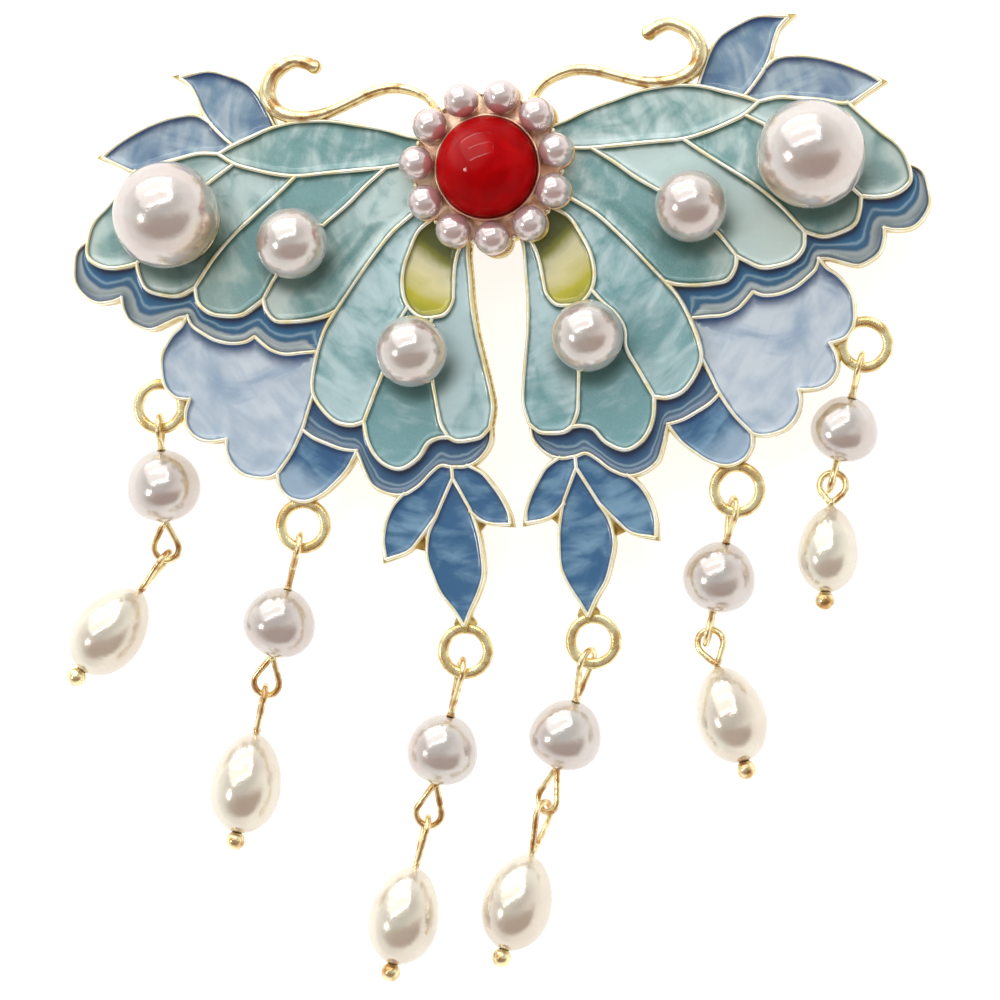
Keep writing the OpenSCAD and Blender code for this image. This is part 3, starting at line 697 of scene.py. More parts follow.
def ridges():
    """Every wall's ridge: a half round of 0.42 by 0.3 mm on its middle line. Where one side is open
    the ridge is only 0.34 mm wide and stands at the wall's outer side. Its width wanders by a few
    hundredths, as a hand finish leaves it."""
    parts = []
    for k, (name, flags) in enumerate(raised_points().items()):
        shift = open_side(WALLS[name])
        middle = WALLS[name] + normals(WALLS[name]) * (shift * (WALL_W / 2 - EDGE_W))[:, None]
        thick = RIDGE_W + (EDGE_W - RIDGE_W) * np.abs(shift)
        for a, b, high in runs(flags):
            flat = middle[a:b + 1]
            path = np.column_stack([flat, np.full(len(flat), HIGH_TOP if high else LOW_TOP)])
            path, share = rounded(path, RIDGE_END)
            half = np.pad(thick[a:b + 1], ENDS, mode="edge")
            s = np.cumsum(np.r_[0, np.linalg.norm(np.diff(path, axis=0), axis=1)])
            path[:, 2] -= UNEVEN_Z + wander(s, 50 + k, UNEVEN_Z)
            wide, tall = half * share * (1 + wander(s, k, UNEVEN_W)), RIDGE_H * share**0.5
            parts += [sweep(path * [side, 1, 1], RIDGE, wide, tall) for side in SIDES]
    return join(parts)


# The rims take the nearly cream plate, painted light on their tops.
rims = dress("rims", ridges(), LIT_GOLD)
print("rims", len(rims.data.polygons), "faces")

# %% [markdown]
# ## Feelers and rings
#
# A feeler is a half round wire whose width swells towards its curled end. A ring is a plain cast
# eye with all its edges rounded. Both are sections carried along a path.

# %% Feelers
FEELER = points_of("""11 14 0.55  13.5 17 0.6  17 19 0.75  21.5 20 0.85  26 19.5 0.85  30.5 18 0.8
    35 16.5 0.8  39.5 15.5 0.95  44 15.5 1.05  47.5 16.5 1.15  50 18.5 1.25  51 21.5 1.3
    50 24.5 1.2  48 26.5 1.1  44.5 28 1  41.5 27.5 1.05  39.5 26.5 1.1""", 3)
FEELER_H, FEELER_END = 0.5, 0.5
feeler = smooth(FEELER * [*SHARE, 0.5], 8)
path = np.column_stack([feeler[:, :2], np.full(len(feeler), SEAT_TOP)])
path, share = rounded(path, FEELER_END)
wide, tall = np.pad(feeler[:, 2], ENDS, mode="edge") * share, FEELER_H * share**0.5
parts = [sweep(path * [side, 1, 1], RIDGE, wide, tall) for side in SIDES]
feelers = dress("feelers", join(parts), WIRE_GOLD)
print("feelers", len(feelers.data.polygons), "faces")


# %% Rings
def rounded_bar(half_wide, half_high, corner):
    """The section of a bar with round corners, anticlockwise."""
    t = np.linspace(0, math.pi / 2, ENDS + 1)
    arc = np.stack([np.cos(t), np.sin(t)], 1) * corner + [half_wide - corner, half_high - corner]
    up, low = arc, arc[::-1]
    return np.vstack([up, low * [-1, 1], up * [-1, -1], low * [1, -1]])


SECTION = np.linspace(0, 2 * math.pi, 12, endpoint=False)
ROUND = np.stack([np.cos(SECTION), np.sin(SECTION)], 1)
EYE = rounded_bar((RING_D - RING_HOLE) / 4, RING_T / 2, corner=0.3)
TURN = np.arange(56) * 2 * math.pi / 56
CIRCLE = np.stack([np.cos(TURN), np.sin(TURN), 0 * TURN], 1)


def hoop(middle, r, section):
    """A closed ring: the section carried round a circle of radius r about the middle."""
    return sweep(middle + CIRCLE * r, section, closed=True)


eyes = [hoop(middle, (RING_D + RING_HOLE) / 4, EYE) for middle in RINGS]
rings = dress("rings", join(eyes), RING_GOLD)
print("rings", len(rings.data.polygons), "faces")

# %% [markdown]
# ## Enamel
#
# Enamel is ground glass melted into the cells. It climbs the walls a little as it melts, so each
# field is slightly hollow, and it is thinnest by the metal, where it is darker: partly its own
# deeper tone and partly painted shade. A cell's surface is a net of triangles over its outline,
# with closer rings of points near the wall where it curves.


# %% A cell's net
NET, NET_ROW, FIRST_ROW = 0.3, 0.866, 0.47
BANDS = (0.08, 0.19, 0.34)
EDGE, OPEN_EDGE = 0.14, -0.03
SHARPEST, EASE = 0.35, 0.015


def reach_of(points, line, closed=True):
    """Distance of each point from a line of straight stretches: |p - a - t(b-a)| with
    t = (p-a).(b-a)/|b-a|^2 held between 0 and 1, and the least over the stretches."""
    a = line if closed else line[:-1]
    b = np.roll(line, -1, axis=0) if closed else line[1:]
    run = b - a
    rel = points[:, None] - a[None]
    t = np.clip((rel * run).sum(-1) / np.maximum((run * run).sum(-1), 1e-12), 0, 1)
    return np.linalg.norm(rel - t[..., None] * run, axis=-1).min(1)


def drawn_in(ring, d):
    """The ring moved inwards by d along its mitred normals, without the points that would come
    nearer to the ring than d."""
    d = np.broadcast_to(d, len(ring))
    e = np.roll(ring, -1, axis=0) - ring
    n = np.stack([-e[:, 1], e[:, 0]], 1) / np.linalg.norm(e, axis=1, keepdims=True)
    m = n + np.roll(n, 1, axis=0)
    m /= np.maximum((m * n).sum(1, keepdims=True), SHARPEST)
    moved = ring + d[:, None] * m
    deep = reach_of(moved, ring) * np.where(within(moved, ring), 1, -1)
    return moved[deep > d - EASE - 0.1 * np.abs(np.gradient(d))]


def net(cell):
    """Points and triangles of a cell inside its ridges, each point's distance from them, and how
    much it lies below one, which sets the painted shadow of that wall. The glass starts 0.14 mm
    from the middle of a shared wall, and 0.03 mm past the middle of an open one."""
    ring = outline(cell)
    lonely = evened(~in_a_cell(ring - PROBE * normals(ring, closed=True)), closed=True)
    rim = drawn_in(ring, EDGE + (OPEN_EDGE - EDGE) * lonely)
    bands = [drawn_in(rim, d) for d in BANDS]
    lo, hi = ring.min(0), ring.max(0)
    x, y = np.meshgrid(np.arange(lo[0], hi[0], NET), np.arange(lo[1], hi[1], NET * NET_ROW))
    x = x + (np.arange(len(x)) % 2)[:, None] * NET / 2
    fill = np.stack([x.ravel(), y.ravel()], 1)
    fill = fill[within(fill, rim)]
    fill = fill[reach_of(fill, rim) > FIRST_ROW]
    points = np.vstack([rim, *bands, fill])
    loop = [(k, (k + 1) % len(rim)) for k in range(len(rim))]
    flat, _, tris, *_ = delaunay_2d_cdt([Vector(p) for p in points], loop, [], 1, 1e-5)
    flat = np.array([tuple(v) for v in flat])
    tris = np.array([t for t in tris if len(t) == 3])
    gap = flat[:, None] - rim[None]
    near = gap[np.arange(len(flat)), np.linalg.norm(gap, axis=-1).argmin(1)]
    d = reach_of(flat, rim)
    # Painted wall shadow: how much the nearest wall lies above a point, towards the window.
    lee = np.clip(-near[:, 1] / np.maximum(np.linalg.norm(near, axis=1), 1e-6), 0, 1)
    return flat, tris, d, np.where(d < 1e-4, 0.5, lee)


print("the lime cell has", len(net(CELLS["lime"][0])[0]), "points")


# %% A cell's body, and what its points know
SHADE_REACH, LEAST_SHADE = 1.7, 0.25
HOLLOW, CLIMB, SINK = 0.17, 0.22, 0.1
SWELL, STEP_IN, THIN, THICK = 0.012, 0.3, 0.007, 0.62


def painted_pearl_shadow(flat):
    """Painted shadow of the set pearls on the glass: 1 at a pearl's lower edge, falling to nought
    1.7 mm out, and less beside and above it.
    """
    most = np.zeros(len(flat))
    for place, seat in SEATS.items():
        r = (BIG_D if place == "big" else MID_D) / 2
        ray = flat - np.array(seat) * SHARE
        away = np.linalg.norm(ray, axis=1)
        lower = np.clip(-ray[:, 1] / np.maximum(away, 1e-6), 0, 1)
        shade = np.clip(1 - (away - r) / SHADE_REACH, 0, 1)
        most = np.maximum(most, shade * (LEAST_SHADE + (1 - LEAST_SHADE) * lower))
    return most


def cell_solid(cell, top, number, side, tone, start):
    """A closed cell whose points count from start. Its surface is at top - 0.1 - 0.17(1 -
    exp(-d/0.22)) with d the distance from the ridges. It has a skirt at its edge, and an underside
    that steps down past the walls."""
    flat, tris, d, lee = net(cell)
    away, n = np.linalg.norm(flat, axis=1), len(flat)
    z = top - SINK - HOLLOW * (1 - np.exp(-d / CLIMB))
    swell = np.sin(flat[:, 0] * 1.3 + number) * np.sin(flat[:, 1] * 1.1 + 2 * number)
    z += SWELL * swell * (d > STEP_IN)
    under = np.where(d < STEP_IN, top - SINK - HOLLOW - THIN, top - THICK)
    points = np.vstack([np.column_stack([flat, z]), np.column_stack([flat, under])]) * [side, 1, 1]
    edges = np.vstack([tris[:, [0, 1]], tris[:, [1, 2]], tris[:, [2, 0]]])
    _, kind, count = np.unique(np.sort(edges, axis=1), axis=0, return_inverse=True,
                               return_counts=True)
    rim = edges[count[kind.ravel()] == 1]
    skirt = np.column_stack([rim[:, 1], rim[:, 0], rim[:, 0] + n, rim[:, 1] + n])
    parts = [part[:, ::side] + start for part in (tris, tris[:, ::-1] + n, skirt)]
    faces = [face for part in parts for face in part.tolist()]
    lo, hi = away.min(), away.max()
    turn = np.unwrap(np.arctan2(flat[:, 1] + 60 * (flat[:, 0] < 0), flat[:, 0]))
    flow = np.column_stack([away, turn * (lo + hi) / 2, np.full(n, 7.0 * number)])
    # Two marks carry painted shadow: how much a wall lies above each point, and the shade below the
    # set pearls.
    marks = {"wall": d, "reach": (away - lo) / (hi - lo), "lee": lee, "tone": np.full(n, tone),
             "cell": np.full(n, float(number)), "below": painted_pearl_shadow(flat)}
    marks = {key: np.tile(values, 2) for key, values in marks.items()}
    return points, faces, {**marks, "flow": np.tile(flow, (2, 1))}, flat


_, petal_faces, petal_marks, _ = cell_solid(CELLS["forewing"][0], HIGH_TOP, number=0, side=1,
                                            tone=0.5, start=0)
print("the first petal has", len(petal_faces), "faces and points that know", list(petal_marks))


# %% All the cells of one colour
def lines_of(names):
    return [WALLS[n] for n in names.split()]


INNER = lines_of("lobe_1 lobe_2 lobe_3 lobe_4 hind_outer hind_mid hind_inner_low")
OUTER = lines_of("rim_1 rim_2 rim_3 rim_4 low_rim low_rim_up")


def enamel_group(group, side, finish):
    """All the cells of one colour on one wing as one object."""
    top = HIGH_TOP if group in RAISED else LOW_TOP
    tones = TONES.get(group, [PLAIN_TONE] * len(CELLS[group]))
    points, faces, marks, start = [], [], {}, 0
    for number, cell in enumerate(CELLS[group]):
        p, f, m, flat = cell_solid(cell, top, number, side, tones[number][side > 0], start)
        if group == "border":
            near, far = (np.min([reach_of(flat, line, closed=False) for line in lines], axis=0)
                         for lines in (INNER, OUTER))
            m["band"] = np.tile(near / (near + far), 2)
        points.append(p)
        faces += f
        start += len(p)
        for key, values in m.items():
            marks.setdefault(key, []).append(values)
    marks = {key: np.concatenate(values) for key, values in marks.items()}
    return dress(side_name(group, side) + "_glass", (np.vstack(points), faces), finish,
                 [side_name(group + "_enamel", side)], marks, sharp=50, merge=False)


print("the borders lie between", len(INNER), "inner and", len(OUTER), "outer lines")

# %% [markdown]
# ## The glass's colours
#
# The glass is pearly: pale streaks swirl through it like milk in water. It is darker by the walls,
# partly its own deeper tone where it is thin and partly painted shade, most on the side of a wall
# away from the window. Each cell carries, at every point, its distance from the walls, how much a
# wall lies above it for that painted shadow, how far out it lies and a pair of numbers that run
# along and across the wing, so the streaks follow it.


# %% What all the glasses share, and the lime one
def glass_coat(f, colour, streak):
    """The gloss that all the enamels share: a clear coat over a softly rippled ground."""
    ripples = f.noise(f.place(), 0.55, 2.0, 0.3) + streak * 0.5
    return f.done(base_color=colour, metallic=0.08, roughness=0.38, coat_weight=0.75,
                  coat_roughness=0.07, ior=1.45, normal=f.bump(ripples, 0.4, 0.0002))


def streaks(f, along_scale, across_scale, bend=0.6):
    """Marbling that is long one way and short the other, in the wing's own directions."""
    flow = f.stretch(f.mark("flow", out="Vector"), along_scale, across_scale, 1.0)
    return f.noise(flow, 1.0, 3.0, bend)


def ramp(f, place, stops):
    """A run of colours along a number from 0 to 1."""
    return f.node("ValToRGB", {"stops": [(p, lin(*c)) for p, c in stops]}, {0: place})


def wall_tone_and_shade(f, colour, deep, share, streak, shadow_spread=0.3):
    """Darkens a colour in a thin line by the walls, partly the glass's deeper tone there and partly
    painted shade, which is strongest on the side of a wall away from the window, as a painted
    shadow.
    """
    lee = f.mark("lee")
    line = 1.0 - (f.mark("wall") + (streak - 0.5) * 0.3).over(0.04, 0.26 + lee * shadow_spread)
    return f.mix(line * (share + lee * (1.0 - share)), colour, lin(*deep))


def lime_glass():
    """Olive by the flower, nearly white in the middle and yellow green at the round end."""
    f = Finish("lime glass")
    streak = streaks(f, 0.4, 0.4)
    place = f.mark("reach") + (streak - 0.5) * 0.25
    stops = [(0.0, (66, 80, 2)), (0.27, (84, 92, 5)), (0.35, (128, 130, 34)),
             (0.5, (218, 215, 172)), (0.62, (226, 220, 166)), (0.82, (190, 184, 44)),
             (1.0, (158, 154, 16))]
    # An olive line by the walls, partly painted shade.
    colour = wall_tone_and_shade(f, ramp(f, place, stops), (82, 88, 12), 0.75, streak, 0.5)
    return glass_coat(f, colour, streak)


LIME = lime_glass()
print("lime glass takes", len(LIME.node_tree.nodes), "nodes")


# %% Borders and tails
def border_glass():
    """Bands that follow the rim: navy inside, a fine pale line, blue, and grey by the outer rim."""
    f = Finish("border glass")
    streak = streaks(f, 0.28, 0.28)
    place = f.mark("band") + (streak - 0.5) * 0.4
    upper = [(0.0, (24, 58, 98)), (0.2, (32, 90, 140)), (0.34, (42, 108, 152)),
             (0.41, (136, 170, 190)), (0.48, (50, 104, 144)), (0.58, (46, 94, 130)),
             (0.68, (166, 180, 184)), (0.8, (144, 158, 160)), (1.0, (66, 92, 116))]
    lower = [(0.0, (28, 56, 96)), (0.3, (42, 86, 132)), (0.5, (58, 102, 138)),
             (0.57, (140, 168, 186)), (0.65, (60, 96, 130)), (0.78, (104, 132, 154)),
             (1.0, (36, 66, 104))]
    colour = f.mix(f.mark("cell"), ramp(f, place, upper), ramp(f, place, lower))
    # A navy line by the walls, partly painted shade.
    return glass_coat(f, wall_tone_and_shade(f, colour, (30, 54, 88), 0.3, streak), streak)


def tail_glass():
    """As the other blues, but the first cell, a small petal, is dark above and has a pale tip."""
    f = Finish("tail glass")
    cloud, brush = streaks(f, 0.3, 0.3, 0.8), streaks(f, 0.9, 0.3, 0.6)
    milk = cloud * 0.5 + brush * 0.5
    pale = (milk + f.mark("tone") - 0.5).over(0.42, 0.68)
    colour = f.mix(pale, lin(44, 98, 142), lin(116, 158, 187))
    first = 1.0 - f.mark("cell").over(0.0, 0.5)
    tip = f.mark("reach") + (cloud - 0.5) * 0.15
    colour = f.mix(first * (1.0 - tip.over(0.0, 0.5)) * 0.7, colour, lin(34, 80, 132))
    colour = f.mix(first * tip.over(0.45, 0.8) * 0.85, colour, lin(164, 190, 211))
    # A dark blue line by the walls, partly painted shade.
    return glass_coat(f, wall_tone_and_shade(f, colour, (28, 60, 104), 0.6, brush), milk)


BORDER, TAIL = border_glass(), tail_glass()
print("mixed", BORDER.name, "and", TAIL.name)


# %% Pearly glass, and all the enamels
def pearly(name, deep, body, pale, edge, outer=None, shadow_spread=0.3):
    """Glass of three tones: body, pale in brushed strokes that lie across the petals, and deep in a
    few broad clouds; an edge tone by the walls, partly the glass's own and partly painted shade,
    the same tone as painted shadow below the set pearls, and an outer tone towards each cell's far
    end."""
    f = Finish(name)
    cloud = streaks(f, 0.16, 0.24, 0.9)
    brush = streaks(f, 0.55, 0.24, 0.9)
    fine = streaks(f, 1.7, 0.6, 0.5)
    milk = cloud * 0.4 + brush * 0.48 + fine * 0.12
    colour = f.mix((milk + f.mark("tone") - 0.5).over(0.38, 0.64), lin(*body), lin(*pale))
    colour = f.mix((1.0 - cloud.over(0.28, 0.48)) * 0.65, colour, lin(*deep))
    if outer:
        ends = (f.mark("reach") + (cloud - 0.5) * 0.5).over(0.7, 1.0)
        colour = f.mix(ends * 0.25, colour, lin(*outer))
    mica = f.noise(f.place(), 11.0, 2.0)
    colour = f.mix(mica.over(0.5, 0.72) * 0.2, colour, lin(*pale))
    # Painted shadow below the set pearls, in the edge tone.
    colour = f.mix(f.mark("below").over(0.0, 0.8) * 0.85, colour, lin(*edge))
    # The edge tone in a line by the walls, partly painted shade.
    return glass_coat(f, wall_tone_and_shade(f, colour, edge, 0.7, brush, shadow_spread), milk)


# Each pearly glass's fourth colour is the dark tone of its painted wall shade and painted pearl
# shadow; a last number sets how far the painted wall shadow reaches.
GLASS = {
    "forewing": (pearly("pale green glass", (84, 140, 138), (119, 165, 166), (200, 224, 222),
                        (36, 82, 72), outer=(200, 208, 186)), "enamel_mint"),
    "hindwing": (pearly("green glass", (84, 142, 145), (117, 166, 171), (190, 218, 222),
                        (36, 84, 78)), "enamel_teal"),
    "lime": (LIME, "enamel_lime"),
    "border": (BORDER, "enamel_navy"),
    "sky": (pearly("sky glass", (136, 163, 193), (172, 193, 212), (208, 221, 232), (36, 72, 118),
                   shadow_spread=1.1), "enamel_sky"),
    "leaves": (pearly("leaf glass", (48, 92, 142), (106, 140, 169), (172, 191, 203),
                      (28, 62, 110), shadow_spread=0.6), "enamel_leaf"),
    "tail": (TAIL, "enamel_blue"),
}
for group, (finish, slot) in GLASS.items():
    made = [enamel_group(group, side, finish) for side in SIDES]
    print(group, [len(m.data.polygons) for m in made], "faces")

# %% [markdown]
# ## Pearls
#
# Cultured pearls are never quite round: they bulge and flatten by a few hundredths, and a drilled
# one puckers at its hole. Each pearl is one surface of two angles whose radius wanders with both.
# The two big ones also carry a painted reflection of the gilt walls, an amber tone on the side
# that faces the flower and the strands.


# %% Nacre
def nacre(name, tone, blush, shade):
    """Layers of nacre mirror their surroundings softly: a part of the light is thrown back as from
    metal, and cloudy patches of a warmer and a cooler tone lie under it."""
    f = Finish(name)
    where = f.place()
    cloud = f.noise(where, 0.22, 2.0, 0.8)
    skin = f.noise(where, 1.4, 4.0, 0.3)
    colour = f.mix(cloud.over(0.38, 0.66), lin(*tone), lin(*blush))
    colour = f.mix(skin.over(0.55, 0.8) * 0.35, colour, lin(*shade))
    # Painted reflection of the gilt walls, in amber.
    colour = f.mix(f.mark("warm") * 0.55, colour, lin(230, 176, 100))
    return f.done(base_color=colour, metallic=0.6, roughness=0.13 + skin * 0.1, coat_weight=0.3,
                  coat_roughness=0.08, normal=f.bump(skin, 0.22, 0.00012))


PEARL = nacre("nacre", (216, 211, 205), (212, 201, 195), (194, 186, 177))
SEED = nacre("seed nacre", (224, 213, 211), (222, 204, 202), (206, 188, 185))
CREAM = nacre("cream nacre", (233, 227, 210), (225, 215, 199), (209, 198, 182))
print("pearls are finished in", PEARL.name, SEED.name, CREAM.name)


# %% A pearl's shape
WAVES, SWING = 6, 2.8
# Which way the painted gilt reflection on the big pearls faces, and where it begins.
GILT_REFLECTION_WAY, GILT_REFLECTION_FROM = np.array([-0.74, -0.62, 0.05]), 0.7


def lumps(u, v, seed, size):
    """The share of the radius at the angles u and v: 1 - size*(1 + total/2.8)/2, where total is a
    sum of six sines of the direction."""
    rng = np.random.default_rng(seed)
    x, y, z = np.sin(v) * np.cos(u), np.sin(v) * np.sin(u), np.cos(v)
    total = 0
    for k in range(WAVES):
        way = rng.normal(size=3)
        way /= np.linalg.norm(way)
        total = total + np.sin((x * way[0] + y * way[1] + z * way[2]) * rng.uniform(1.5, 4.5)
                               + rng.uniform(0, 6.28)) / (1 + k * 0.5)
    return 1 - size * (1 + total / SWING) / 2


def set_pearl(middle, d, seed, size, cut=CUT, rows=40, cols=64):
    """A ball with a flat below: at the angles u about Z and v from the top the radius is
    d/2 * lumps, and under the flat's level z is held at it."""
    v = np.linspace(0, math.pi, rows)[:, None]
    u = np.linspace(0, 2 * math.pi, cols, endpoint=False)[None]
    r = d / 2 * lumps(u, v, seed, size)
    z = np.maximum(r * np.cos(v), -d / 2 * cut)
    ball = np.stack([r * np.sin(v) * np.cos(u), r * np.sin(v) * np.sin(u), z + 0 * u], -1)
    return outwards(ball.reshape(-1, 3) + middle, grid(rows, cols))


def painted_gilt_reflection(points, middle, side):
    """How much painted reflection of the gilt walls a big pearl carries: 1 where it faces the
    flower and the strands, and less away from there, as (cos(angle) - 0.7) / 0.3."""
    ray, way = points - middle, GILT_REFLECTION_WAY * [side, 1, 1]
    share = ray @ way / np.linalg.norm(ray, axis=1) / np.linalg.norm(way)
    return np.clip((share - GILT_REFLECTION_FROM) / 0.3, 0, 1)


trial = set_pearl(np.zeros(3), MID_D, seed=1, size=0.016)
print("a set pearl holds", round(float(volume(*trial)), 1), "cubic millimetres")


# %% Set pearls
CUP_R, CUP_SINK, CUP_SECTION = 3.5, 0.02, ROUND * [0.42, 0.3]


def about_stone(k, r, z):
    """The k-th of eleven places on a circle round the stone."""
    turn = math.radians(270 + k * 360 / SEED_COUNT)
    return [r * math.cos(turn), r * math.sin(turn), z]


cups = []
for k, (place, seat) in enumerate(SEATS.items()):
    big = place == "big"
    d, rows, cols = (BIG_D, 72, 112) if big else (MID_D, 56, 88)
    for side in SIDES:
        foot = np.array([*(seat * SHARE * [side, 1]), HIGH_TOP])
        middle = foot + (FIT + d / 2 * CUT) * UP
        tag = side_name(place + "_pearl", side)
        pearl = set_pearl(middle, d, seed=20 + 10 * k + side, size=0.016, rows=rows, cols=cols)
        # The big pearls carry a painted reflection of the gilt walls.
        warm = {"warm": painted_gilt_reflection(pearl[0], middle, side)} if big else None
        dress(tag + "_nacre", pearl, PEARL, [tag], warm)
        if big:
            cups.append(hoop(foot - CUP_SINK * UP, CUP_R, CUP_SECTION))
dress("pearl_cups", join(cups), WIRE_GOLD)
for k in range(SEED_COUNT):
    at = about_stone(k, SEED_RING, SEAT_TOP + FIT + SEED_D / 2 * CUT)
    pearl = set_pearl(at, SEED_D, seed=70 + k, size=0.05)
    tag = "seed_pearl_%d" % (k + 1)
    dress(tag + "_nacre", pearl, SEED, [tag])
print("set pearls", 2 * len(SEATS), "and seeds", SEED_COUNT)

# %% [markdown]
# ## The red stone
#
# The stone is a polished dome of deep red. Its polish is keenest on the upper left of the crown,
# which shows the window as a bright frame, and is worn softer towards the sides. It stands in a
# thin band of metal, with small prongs between the seed pearls round it.


# %% The stone and its prongs
def red():
    """Deep red in two clouded tones, with a clear coat that is strongest about one spot."""
    f = Finish("red stone")
    where = f.place()
    cloud = f.noise(where, 0.25, 3.0, 1.0)
    colour = f.mix(cloud.over(0.35, 0.7), lin(158, 2, 6), lin(190, 4, 9))
    off = f.node("VectorMath", {"operation": "SUBTRACT"}, {0: where, 1: (-0.9, 1.0, 10.5)})
    off = f.node("VectorMath", {"operation": "LENGTH"}, {0: f.stretch(off, 0.55, 0.55, 0.3)}, out=1)
    polish = 0.06 + off.over(1.15, 0.7) * 0.44
    return f.done(base_color=colour, roughness=0.4, specular_ior_level=0.02, coat_weight=polish,
                  coat_roughness=0.03, normal=f.bump(cloud, 0.1, 0.0002))


RED = red()
PRONG_RING, PRONG_UP, PRONG_D = 6.2, 0.3, 0.5
BEZEL_UP, BEZEL_R = 0.68, 0.17
stone_cut = 2 * STONE_H / STONE_D - 1
dome = set_pearl((SEAT_TOP + FIT + STONE_D / 2 * stone_cut) * UP, STONE_D, seed=5, size=0.004,
                 cut=stone_cut, rows=80, cols=128)
stone = dress("red_dome", dome, RED, ["cabochon"])
places = [about_stone(k + 0.5, PRONG_RING, SEAT_TOP + PRONG_UP) for k in range(SEED_COUNT)]
prongs = [set_pearl(place, PRONG_D, seed=90 + k, size=0.05, cut=1, rows=16, cols=20)
          for k, place in enumerate(places)]
# The prongs take the nearly cream plate, painted light on their tops.
dress("claws", join(prongs), LIT_GOLD)
band = hoop((SEAT_TOP + BEZEL_UP) * UP, STONE_D / 2 + BEZEL_R, ROUND * BEZEL_R)
# The stone's band takes the painted red reflection too.
dress("bezel", band, SEAT_GOLD_RED_REFLECTION)
print("stone", len(stone.data.polygons), "faces and", len(prongs), "prongs")

# %% [markdown]
# ## The strands
#
# Each strand is a pin with an eye at both ends, a drilled pearl on it, and a second pin with an
# eye above and a ball below that holds a drop. They lie on the surface as they fell. All is worked
# out from the ring that the strand hangs in, as in the model: first how far each pin falls below
# level so that its pearl just lies on the surface, then where the pearls and the links are.

# %% Where the pearls of a strand lie
KNOT = 1.5 * WIRE / 2
NECK = KNOT + FIT
LINK = LOW_R - (WIRE + LINK_GAP) / 2
RING_MID = (RING_D + RING_HOLE) / 4


def heading(turn, fall):
    """A direction with its turn about Z and its fall below level."""
    flat = math.cos(fall)
    return np.array([flat * math.cos(turn), flat * math.sin(turn), -math.sin(fall)])


def lay(strand):
    """A strand's two pearls, each as its middle, turn, fall, radius and half length. A pin falls by
    asin of its drop in height over its reach."""
    start = ring_at(strand)
    bead_r, drop_r = BEAD_D * strand.bead / 2, DROP_D * strand.drop / 2
    bead_half, drop_half = bead_r * BEAD_FLAT, DROP_LEN * strand.drop / 2
    turn = math.radians(strand.swing - 90)
    reach = strand.top * TOP_R + NECK + bead_half
    fall = math.asin((start[2] - bead_r) / reach)
    bead = start + RING_MID * heading(turn, 0) + reach * heading(turn, fall)
    link_reach = bead_half + NECK + strand.low * LOW_R + LINK - strand.slack
    link = bead + link_reach * heading(turn, fall)
    head_turn = math.radians(strand.head_swing - 90)
    head_reach = LINK + strand.bail * LOW_R + NECK + drop_half
    head_fall = math.asin((link[2] - drop_r) / head_reach)
    drop = link + head_reach * heading(head_turn, head_fall)
    return (bead, turn, fall, bead_r, bead_half), (drop, head_turn, head_fall, drop_r, drop_half)


def placed(parts, middle, turn, fall):
    """Parts laid along X, carried to their place: turned down by fall about Y, then round by turn
    about Z."""
    points, faces = join(parts)
    c, s, cf, sf = math.cos(turn), math.sin(turn), math.cos(fall), math.sin(fall)
    round_z = np.array([[c, -s, 0], [s, c, 0], [0, 0, 1]])
    down = np.array([[cf, 0, sf], [0, 1, 0], [-sf, 0, cf]])
    return points @ (round_z @ down).T + middle, faces


print("first pearl at", lay(STRANDS[0])[0][0].round(1).tolist())


# %% Bent wire
NECK_GAP, NECK_END = 0.1, 0.2
BENT = ROUND * WIRE / 2 * [1.12, 1.04]


def eye_loop(r, reach, roll, at_x, way):
    """A wire bent to a drop: from the neck straight to a round of radius r, about it and back, in a
    plane rolled about X. The straight parts touch the round at the angle acos(r / reach)."""
    half = math.acos(r / reach)
    t = np.linspace(half, 2 * math.pi - half, 34)
    bend = np.stack([r * np.cos(t), r * np.sin(t), 0 * t], 1)
    leg = np.linspace(0, 1, 7)[:-1, None]
    neck_in, neck_out = np.array([reach, NECK_GAP, 0]), np.array([reach, -NECK_GAP, 0])
    there = neck_in + (bend[0] - neck_in) * leg
    back = bend[-1] + (neck_out - bend[-1]) * (leg + leg[1])
    path, share = rounded(np.vstack([there, bend, back]) - [reach, 0, 0], NECK_END)
    points, quads = sweep(path, BENT, share, share)
    c, s = math.cos(math.radians(roll)), math.sin(math.radians(roll))
    about = np.array([[1, 0, 0], [0, c, s], [0, -s, c]])
    return outwards(points * [-way, 1, 1] @ about + [at_x, 0, 0], quads)


def knot(x):
    """A small swelling where an eye closes on the shank, of radius 0.9 WIRE/2 + (KNOT - WIRE/2)
    cos^2."""
    t = np.linspace(-1, 1, 13)
    r = WIRE / 2 * 0.9 + (KNOT - WIRE / 2) * np.cos(t * math.pi / 2) ** 2
    profile = np.column_stack([x + t * KNOT, r])
    return lathe(np.vstack([profile[0] * [1, 0], profile, profile[-1] * [1, 0]]), 20)


def shank(a, b):
    """A straight round wire from a to b."""
    return lathe(np.array([[a, 0], [a, WIRE / 2], [b, WIRE / 2], [b, 0]]), 16)


def ball(x, d):
    """A ball of width d with its middle at x."""
    return lathe(d / 2 * ball_profile + [x, 0], 32)


print("an eye has", len(eye_loop(TOP_R, 2 * TOP_R, roll=0, at_x=0, way=1)[1]), "faces")


# %% Drilled pearls
BORE, BORE_END = WIRE / 2 + 0.12, 0.985


